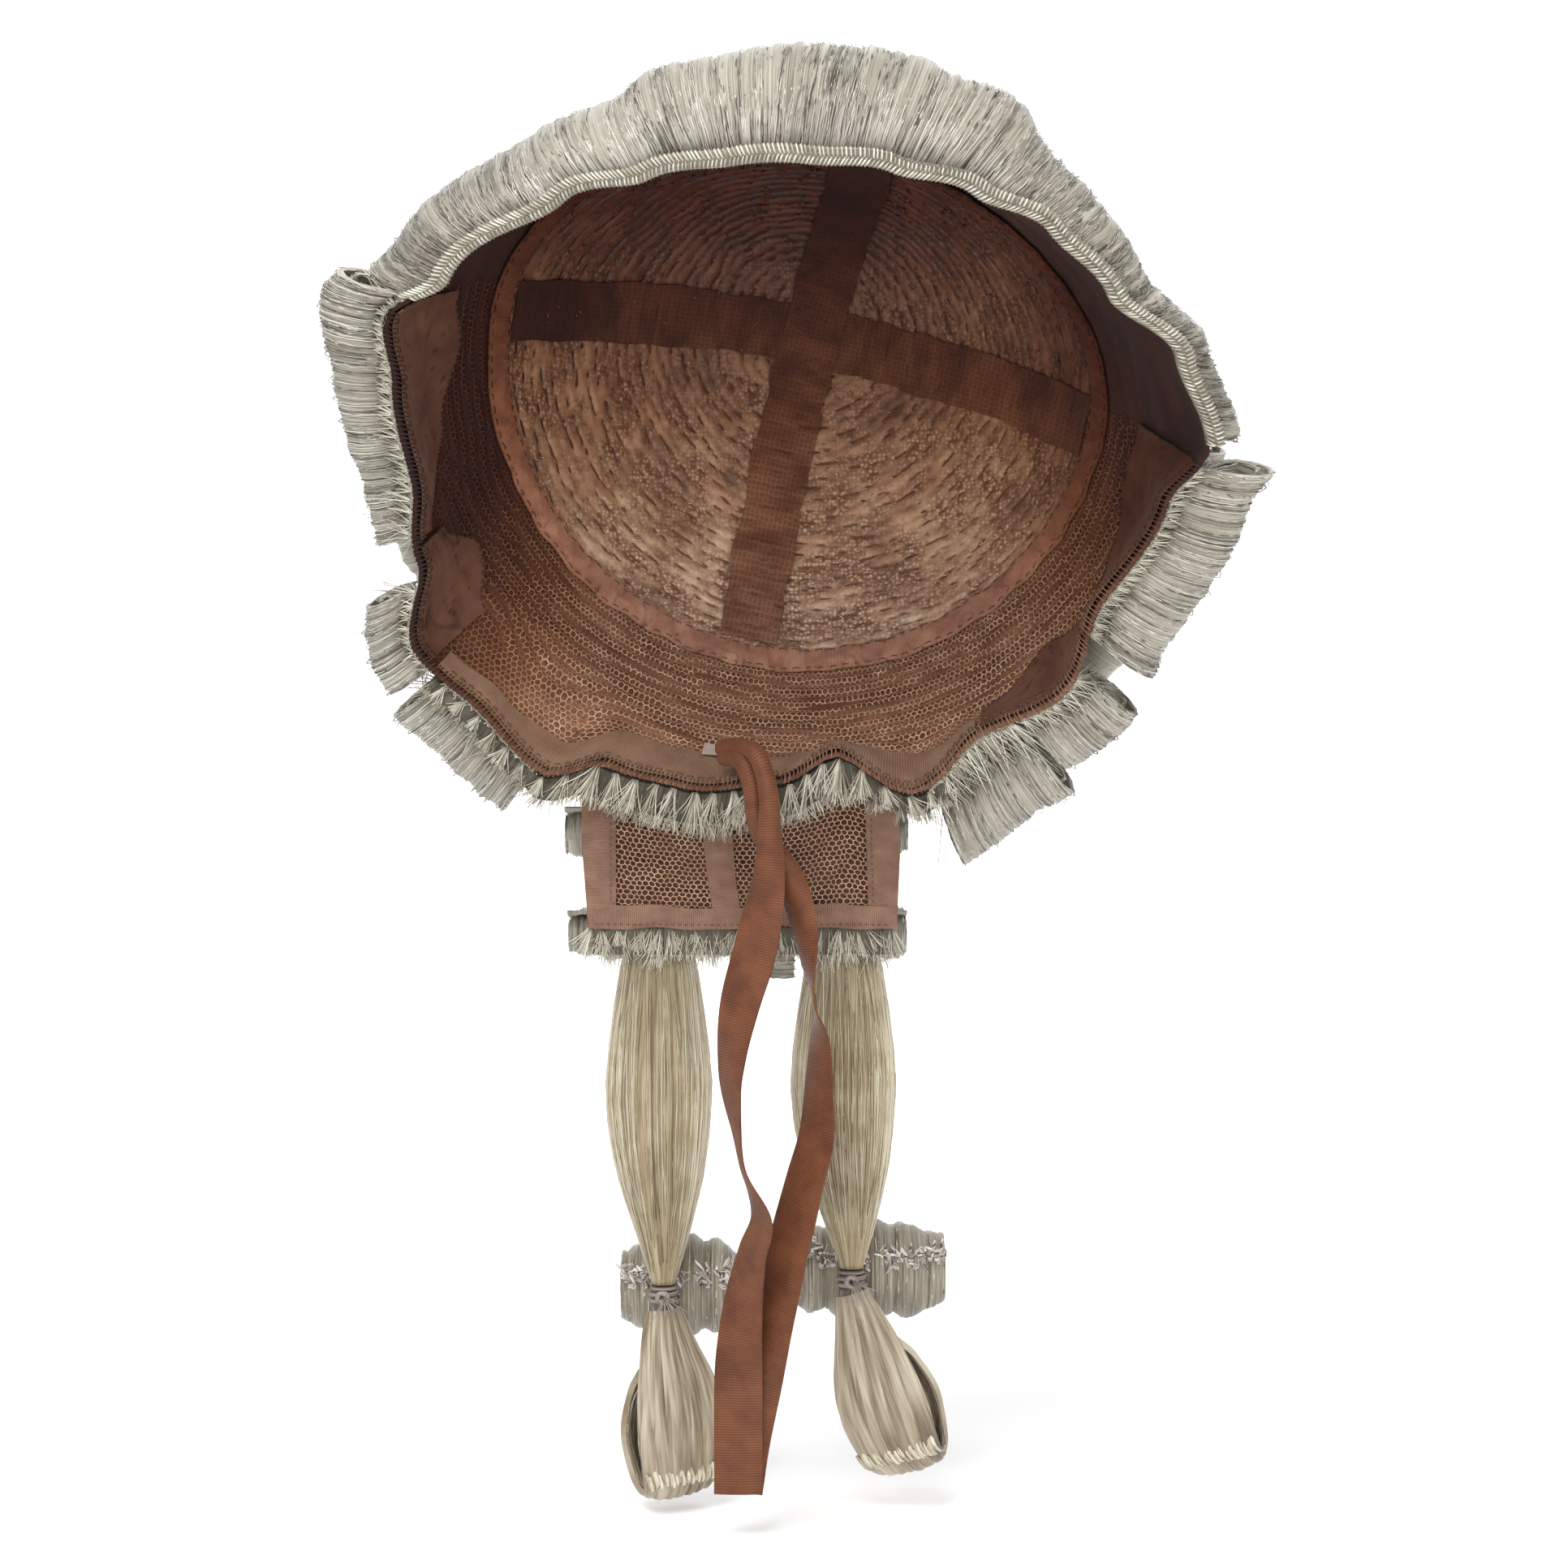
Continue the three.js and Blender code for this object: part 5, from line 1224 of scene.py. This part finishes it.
def make_flap_fringe():
    rng = np.random.default_rng(151)
    x = np.linspace(FLAP_LEFT + 1, FLAP_LEFT + FLAP_WIDTH - 1, 200)[None]
    drop = np.linspace(-5, 6.5, 7)[:, None]
    bumps = locks(x, 3.1, 152)
    y = FLAP_Y + 1.5 - 0.5 * bumps * ease(-5, 2, drop)
    points = HANG + np.stack(np.broadcast_arrays(x, y, FLAP_BOTTOM - drop), -1)
    piece = surface("flap_fringe_mass", points, x, drop, np.clip(0.2 + bumps, 0, 1), 1.0)
    # the fringe's inner mass is darkened with painted shade
    wear(piece, SHADED_UNDER_HAIR, "hair", "flap_fringe")
    paths, shades = [], []
    for row, (depth, lift) in enumerate([(1.0, 0.4), (2.4, -0.6)]):
        for x in np.arange(FLAP_LEFT + 1 + row * 0.8, FLAP_LEFT + FLAP_WIDTH - 1, 2.1):
            root = HANG + np.array([x, FLAP_Y + depth, FLAP_BOTTOM + lift])
            toward = np.array([rng.normal(0, 0.22), rng.uniform(-0.5, 0.1), -1])
            reach = rng.uniform(6.0, 10.5) if row else rng.uniform(5.0, 8.5)
            paths.append(tuft(rng, root, toward, reach, 0.2, 22, 4))
            shades.append(hair_shades(rng, 22, 0.1))
    wear_tufts("flap_fringe_tufts", paths, 0.15, shades, 0.55, CUT_STRAND)


def straight_roll(
    name, ends, out, up, radius, seed, root, loops=90, fine=0.8, start=-168,
    rounding=0.0, lumps=0.35, material=None
):
    centre = mix(np.array(ends[0], float), np.array(ends[1], float), np.linspace(0, 1, 30)[:, None]) + HANG
    spread = np.broadcast_to(np.array(out, float), (30, 3)), np.broadcast_to(np.array(up, float), (30, 3))
    roots = centre + np.array(root, float)
    roll = roll_of(centre, *spread, np.full(30, float(radius)), roots, start, rounding)
    make_roll(name, roll, seed, fine, loops, 40, material, lumps=lumps)
    return roll


def make_flap_rolls():
    back = FLAP_Y + 0.6 + CLEARANCE
    upper_y = back + CLEARANCE + FLAP_ROLL_RADIUS
    lower_y = TAIL_Y + FLAP_ROLL_RADIUS + 2.4
    upper_z, lower_z = FLAP_BOTTOM + 24, FLAP_BOTTOM - 2
    curl_x, curl_radius = FLAP_LEFT + FLAP_WIDTH - 28.6, 4.2
    left, right = FLAP_LEFT - 6, FLAP_LEFT + FLAP_WIDTH + 3
    stop = curl_radius + 1.5
    for number, (row, y, z) in enumerate([("upper", upper_y, upper_z), ("lower", lower_y, lower_z)]):
        for side, ends in {"left": (left, curl_x - stop), "right": (curl_x + stop, right)}.items():
            spots = [(ends[0], y, z), (ends[1], y, z)]
            root = (0, -FLAP_ROLL_RADIUS + 0.3, FLAP_ROLL_RADIUS * 0.8)
            seed = 600 + 20 * number + len(side)
            straight_roll(
                f"flap_roll_{row}_{side}", spots, (0, 1, 0), (0, 0, -1), FLAP_ROLL_RADIUS, seed, root,
                rounding=1.8, lumps=0.6
            )
    curl_y = back + 1.4 + CLEARANCE + curl_radius
    ends = [(curl_x, curl_y, upper_z + FLAP_ROLL_RADIUS / 2), (curl_x, curl_y, FLAP_BOTTOM - 12.5)]
    straight_roll("flap_curl", ends, (1, 0, 0), (0, 1, 0), curl_radius, 660, (-curl_radius * 0.8, 0, 0), 60)


# Tails

def make_tail(side, tail, seed):
    length = TAIL_LENGTH * tail["length"]
    top = FLAP_BOTTOM - 1
    front = FLAP_Y + 0.6 + 2 * CLEARANCE + 1.4
    sections = curve_through(TAIL_SECTIONS, 70)
    along, width, depth = sections.T

    def bundle(share, angle, stand):
        wide = np.interp(share, along, width) * TAIL_WIDTH / 2 + stand
        deep = np.interp(share, along, depth) * TAIL_WIDTH / 2 + stand
        x = mix(tail["x"], tail["tie"], ease(0.5, 1, share))
        y = np.maximum(TAIL_Y, front + deep)
        y = mix(front + deep, y, ease(0, 0.12, share))
        z = top - length * share
        return HANG + np.stack([x + wide * np.cos(angle), y + deep * np.sin(angle), z + 0 * angle], -1)

    share = along[:, None]
    angle = np.linspace(0, 2 * math.pi, 97)[None]
    round_mm = angle * 13
    pull = round_mm + 3.0 * waves(round_mm, share * 30, 60, seed)
    pull = pull + 0.8 * waves(round_mm, share * 40, 14, seed + 1)
    coarse, fine = locks(pull, 3.4, seed + 2), locks(pull + 3, 1.2, seed + 3)
    fade = np.sin(math.pi * np.clip(share, 0.05, 1)) * 0.6 + 0.4
    points = bundle(*np.broadcast_arrays(share, angle), (0.7 * coarse + 0.25 * fine - 1.5) * fade)
    points[:, -1] = points[:, 0]
    relief = np.clip(0.4 + 0.4 * coarse + 0.4 * fine, 0, 1)
    piece = surface(f"tail_{side}_hair", points, round_mm, share * length, relief, joined=True)
    cap_ends(piece)
    wear(piece, TAIL_HAIR, "tail", f"tail_{side}")
    rng = np.random.default_rng(seed + 4)
    count = 420
    home = rng.uniform(0, 2 * math.pi, (count, 1))
    run = np.linspace(0.0, 1, 9)[None] * rng.uniform(0.8, 1.0, (count, 1))
    wander = rng.normal(0, 0.16, (count, 1)) * np.sin(run * math.pi) + rng.normal(0, 0.01, (count, 9))
    loose = np.where(rng.random((count, 1)) < 0.03, 0.9, 0.2) * np.sin(run * math.pi)
    paths = bundle(run, home + wander, rng.uniform(-1.1, -0.4, (count, 1)) + loose)
    # painted sheen: hairs lighter towards the tail's two edges
    shade = 0.75 * hair_shades(rng, count, 0.06) + 0.4 * np.abs(np.cos(home[:, 0])) ** 3
    hairs = strands(f"tail_{side}_strands", paths, rng.uniform(0.09, 0.17, count), shade, 0.9)
    wear(hairs, TAIL_STRAND, "tail")
    tie_top = top - length - CLEARANCE
    make_tie(side, tail, tie_top, seed)
    make_loop(side, tail, tie_top - TIE_HEIGHT - CLEARANCE, seed + 20)
    make_end_curl(side, tail, tie_top - TIE_HEIGHT / 2, seed + 40)


def make_tie(side, tail, top, seed):
    """Hair wound tight round the tail and knotted in front."""
    centre = HANG + np.array([tail["tie"], TAIL_Y, top - TIE_HEIGHT / 2])
    rng = np.random.default_rng(seed + 9)
    rounds = np.linspace(0, 5 * 2 * math.pi, 150)
    reach = 3.2 + 0.25 * np.sin(rounds * 1.3) + 0.2 * np.sin(rounds * 0.37)
    height = np.linspace(-1.9, 1.9, 150) + 0.3 * np.sin(rounds * 0.5)
    winding = centre + np.stack([reach * np.cos(rounds), reach * np.sin(rounds), height], -1)
    turn = np.linspace(0, 2 * math.pi, 40)
    knots = []
    for lean, size in ((0.3, 1.5), (-0.6, 1.3), (1.3, 1.1)):
        ring = np.stack([size * np.cos(turn), -3.9 + 0.5 * np.sin(turn * 2), size * 0.8 * np.sin(turn)], -1)
        knots.append(centre + ring @ turn_about(1, math.degrees(lean)).T)
    bpy.ops.object.select_all(action="DESELECT")
    bpy.ops.mesh.primitive_cylinder_add(
        vertices=24, radius=3.0 * MM, depth=TIE_HEIGHT * MM, location=tuple(centre * MM)
    )
    bpy.ops.object.transform_apply(location=True, rotation=True, scale=True)
    core = bpy.context.object
    ends = tuft(rng, centre + np.array([0.4, -4.2, 0.2]), (0.5, -0.5, -0.7), 5, 0.5, 14)
    parts = [
        core, strands("winding", winding[None], 0.62, 0.5, 1.0), strands("knots", knots, 0.6, 0.6, 1.0),
        strands("ends", ends, 0.16, 0.7, 0.8),
    ]
    deselect()
    for part in parts:
        part.select_set(True)
    bpy.context.view_layer.objects.active = core
    bpy.ops.object.join()
    core.name = core.data.name = f"tail_tie_{side}_thread"
    wear(core, TIE_HAIR, "hair", f"tail_tie_{side}")


def make_loop(side, tail, top, seed):
    """A band of hair that drops, turns under and comes up behind, bound along its lowest edge."""
    turned = turn_about(1, -tail["lean"]) @ turn_about(2, tail["turn"])
    base = HANG + np.array([tail["tie"], TAIL_Y, top])
    route = curve_through(LOOP_SECTIONS, 80)
    line = np.stack([0 * route[:, 0], LOOP_DEPTH * route[:, 1], -LOOP_LENGTH * route[:, 0]], -1)
    tangent = unit(np.gradient(line, axis=0))
    normal = np.cross(tangent, [1.0, 0, 0])
    place = lengths_along(line)
    half = LOOP_WIDTH * route[:, 2] / 2

    def band(at, share, stand):
        spot = np.stack([np.interp(at, place, line[:, i]) for i in range(3)], -1)
        lift = np.stack([np.interp(at, place, normal[:, i]) for i in range(3)], -1)
        wide = np.interp(at, place, half)
        spot = spot + lift * np.asarray(stand)[..., None]
        spot[..., 0] += wide * share
        return base + spot @ turned.T

    at, share = np.meshgrid(place, np.linspace(-1, 1, 52), indexing="ij")
    lowest = place[np.argmin(line[:, 2])]
    pull = share * 11 + 0.35 * waves(share * 12, at, 30, seed)
    coarse, fine = locks(pull, 2.6, seed + 1), locks(pull + 3, 0.9, seed + 2)
    pleat = np.cos(share * 7.5 * math.pi + 0.6) * np.exp(-(((at - lowest + 9) / 8) ** 2))
    rounded = -1.8 * np.abs(share) ** 3
    full = at, share
    stand = 0.5 + 0.4 * coarse + 0.15 * fine + rounded + 1.0 * pleat
    streak = 0.35 * np.clip(waves(share * 12, at * 0.08, 6, seed + 6), -1, 0.3)
    # painted shade in the creases between the pleats
    relief = np.clip(0.45 + 0.3 * coarse + 0.25 * fine + streak + 1.3 * np.minimum(pleat, 0), 0, 1)
    piece = surface(f"tail_loop_{side}_hair", band(*full, stand), share * 11.5, at, relief, 1.6)
    wear(piece, LOOP_HAIR, "tail", f"tail_loop_{side}")
    rng = np.random.default_rng(seed + 3)
    count = 120
    home = rng.uniform(-1, 1, (count, 1))
    run = np.linspace(0, place[-1], 12)[None] * rng.uniform(0.75, 1, (count, 1))
    above = rng.random((count, 1)) < 0.8
    outer = rng.uniform(0.3, 1.15, (count, 1)) - 1.8 * np.abs(home) ** 3
    stand = np.where(above, outer, rng.uniform(-1.5, -1.2, (count, 1)))
    paths = band(run, np.clip(home + rng.normal(0, 0.02, (count, 12)), -1.02, 1.02), stand)
    shade = 0.3 + 0.75 * waves(home[:, 0] * 12, 0 * home[:, 0], 5, seed + 5) + rng.normal(0, 0.16, count)
    wear(strands(f"tail_loop_{side}_strands", paths, 0.11, np.clip(shade, 0, 1), 0.9), LOOP_STRAND, "tail")
    paths, shades = [], []
    for i, spot in enumerate(np.linspace(-0.98, 0.98, 54)):
        arc = lowest - 6.5 + np.linspace(-1.8, 2.4, 6) + 0.7 * math.sin(i * 0.83)
        swell = 2.1 + 0.9 * np.sin(np.linspace(0.2, math.pi, 6)) + 0.3 * math.sin(i * 1.7)
        swell = swell - 0.9 * abs(spot) ** 3
        paths.append(band(arc, spot + np.linspace(-0.04, 0.05, 6) + rng.normal(0, 0.012), swell))
        shades.append(rng.uniform(0.2, 1))
    wear(strands(f"tail_loop_{side}_hem", paths, 0.5, shades, 0.95), HEM_HAIR, "tail")


def make_end_curl(side, tail, middle, seed):
    """A lumpy roll of hair behind the tie, with a row of knotted ends along its front."""
    y = TAIL_Y + TIE_RADIUS + CLEARANCE + END_CURL_RADIUS
    ends = [(x, y, middle) for x in tail["curl"]]
    root = (0, END_CURL_RADIUS * 0.8, END_CURL_RADIUS * 0.3)
    roll = straight_roll(
        f"tail_curl_{side}", ends, (0, 1, 0), (0, 0, 1), END_CURL_RADIUS, seed, root, 280, 0.6, 20,
        3.4, 1.1, END_HAIR
    )
    rng = np.random.default_rng(seed + 8)
    paths, shades = [], []
    length = roll["place"][-1]
    for place in np.arange(1, length, 1.9):
        lift = 0.25 + 0.3 * abs(2 * place / length - 1) * (1 if side == "right" else 0.4)
        for _ in range(3):
            angle = math.pi - lift - rng.normal(0, 0.12)
            spot = roll_point(roll, np.array(place + rng.normal(0, 0.6)), np.array(angle), 0.2)
            turn = np.linspace(0, 2 * math.pi, 12)
            size = rng.uniform(0.6, 1.7)
            loop = np.stack([size * np.cos(turn), 0.9 * np.sin(2 * turn), size * np.sin(turn * 1.5)], -1)
            tilt = turn_about(1, rng.uniform(0, 180)) @ turn_about(0, rng.uniform(-50, 50))
            paths.append(spot + np.stack([loop, loop * 0.7]) @ tilt.T)
            shades.append(rng.uniform(0.3, 1, 2))
    wear_tufts(f"tail_curl_{side}_knots", paths, 0.3, shades, 0.8, KNOT_THREAD)
    paths, shades = [], []
    for place in np.arange(1, length, 3.4):
        spot = roll_point(roll, np.array(place), np.array(math.pi - 0.4), 0.6)
        paths.append(tuft(rng, spot, rng.normal(0, 1, 3) + np.array([0, -0.6, -0.2]), 3.4, 0.4, 9, 4))
        shades.append(hair_shades(rng, 9, 0.1))
    wear_tufts(f"tail_curl_{side}_ends", paths, 0.16, shades, 0.6, PALE_STRAND)


# Ribbon

def make_ribbon(name, route):
    rows = curve_through(route, 150)
    line = rows[:, :3] + HANG
    tangent = unit(np.gradient(line, axis=0))
    across = unit(np.array([1.0, 0, 0]) - tangent * tangent[:, :1])
    lift = np.cross(tangent, across)
    turn = np.radians(rows[:, 3])[:, None]
    wide = across * np.cos(turn) + lift * np.sin(turn)
    face = np.cross(tangent, wide)
    share = np.linspace(-0.5, 0.5, 11)[None]
    place = lengths_along(line)
    curl = mix(6.2, 0.35, ease(16, RIBBON_FOLD, place))[:, None]
    aside = RIBBON_WIDTH * np.sin(curl * share) / curl
    cup = RIBBON_WIDTH * (np.cos(curl * share) - np.cos(curl / 2)) / curl
    cup = cup + 0.12 * waves(share * 20, place[:, None], 26, len(name))
    points = line[:, None] + wide[:, None] * aside[..., None] + face[:, None] * cup[..., None]
    piece = surface(name + "_cloth", points, share * RIBBON_WIDTH, place[:, None], None, RIBBON_THICKNESS)
    wear(piece, RIBBON, "ribbon", name)


# Room

def make_room():
    low = cad_bounds[0].z - FLOOR_DROP * MM
    deselect()
    bpy.ops.mesh.primitive_plane_add(size=1, location=(0, 0, 0))
    floor = bpy.context.object
    floor.name = floor.data.name = "floor"
    mesh = floor.data
    for vertex in mesh.vertices:
        vertex.co = (vertex.co.x * 12, vertex.co.y * 5 + 0.9, low)
    bpy.ops.object.mode_set(mode="EDIT")
    bpy.ops.mesh.select_all(action="DESELECT")
    bpy.ops.object.mode_set(mode="OBJECT")
    for edge in mesh.edges:
        edge.select = all(mesh.vertices[v].co.y > 1 for v in edge.vertices)
    for vertex in mesh.vertices:
        vertex.select = vertex.co.y > 1
    bpy.ops.object.mode_set(mode="EDIT")
    bpy.ops.mesh.select_mode(type="EDGE")
    bpy.ops.mesh.extrude_region_move(TRANSFORM_OT_translate={"value": (0, 0.0, 5)})
    bpy.ops.object.mode_set(mode="OBJECT")
    bend = floor.modifiers.new("sweep", "BEVEL")
    bend.width = 1.6
    bend.segments = 24
    bpy.ops.object.modifier_apply(modifier=bend.name)
    bpy.ops.object.shade_smooth()
    material, tree, shader = finish("pale_floor", 0.9, Emission_Strength=0.16)
    shader.inputs["Emission Color"].default_value = (1, 1, 1, 1)
    place = node(tree, "ShaderNodeTexCoord").outputs["Object"]
    floor_shade = ramp(tree, noise(tree, place, 3.0), (0.0, "#f1f1f2"), (1.0, "#f6f6f7"))
    tree.links.new(floor_shade, shader.inputs["Base Color"])
    floor.data.materials.append(material)


def add_light(name, place, target, size, power):
    lamp = bpy.data.lights.new(name, "AREA")
    lamp.size = size
    lamp.energy = power
    holder = bpy.data.objects.new(name, lamp)
    bpy.context.collection.objects.link(holder)
    holder.location = place
    aim = Vector(target) - Vector(place)
    holder.rotation_euler = aim.to_track_quat("-Z", "Y").to_euler()


def make_lights_and_camera():
    centre = (0, 0, -0.1)
    add_light("key", (-0.45, -0.75, 1.25), centre, 0.9, 19)
    add_light("fill", (1.1, -0.9, 0.5), centre, 1.2, 5)
    add_light("front", (-0.1, -1.7, 0.0), centre, 1.2, 12)
    add_light("rear", (0.2, 1.0, 1.2), centre, 1.0, 7)
    add_light("backdrop", (0, 1.4, 1.6), (0, 3.4, 0.1), 3.0, 70)
    world = bpy.data.worlds.new("studio")
    bpy.context.scene.world = world
    world.use_nodes = True
    world.node_tree.nodes["Background"].inputs["Color"].default_value = (1, 1, 1, 1)
    world.node_tree.nodes["Background"].inputs["Strength"].default_value = 0.4
    data = bpy.data.cameras.new("camera")
    data.lens = CAMERA_LENS
    data.sensor_width = 36
    data.clip_start = 0.05
    camera = bpy.data.objects.new("camera", data)
    bpy.context.collection.objects.link(camera)
    camera.location = [c * MM for c in CAMERA_PLACE]
    camera.rotation_euler = (math.radians(90), 0, 0)
    bpy.context.scene.camera = camera
    bpy.context.scene.view_settings.view_transform = "Standard"


make_lights_and_camera()
make_room()
make_net_lining()
make_crown_weft()
make_cap_threads()
make_ring_tape()
make_cross_band("cross_band_side_cloth", "cross_band_side", SIDE_BAND, SIDE_BAND, 0.8, 25)
make_cross_band("cross_band_long_cloth", "cross_band_long", LONG_BAND_BROW, LONG_BAND_NAPE, 1.25, 35)
make_facings()
make_nape_tape()
make_overcast()
make_label()
make_front_hair()
make_braid()
make_crown_hair()
make_under_hair()
make_cap_rolls()
make_nape_fringe()
make_flap()
make_flap_fringe()
make_flap_rolls()
for number, (side, tail) in enumerate(TAILS.items()):
    make_tail(side, tail, 700 + 100 * number)
for name, route in RIBBONS.items():
    make_ribbon(name, route)
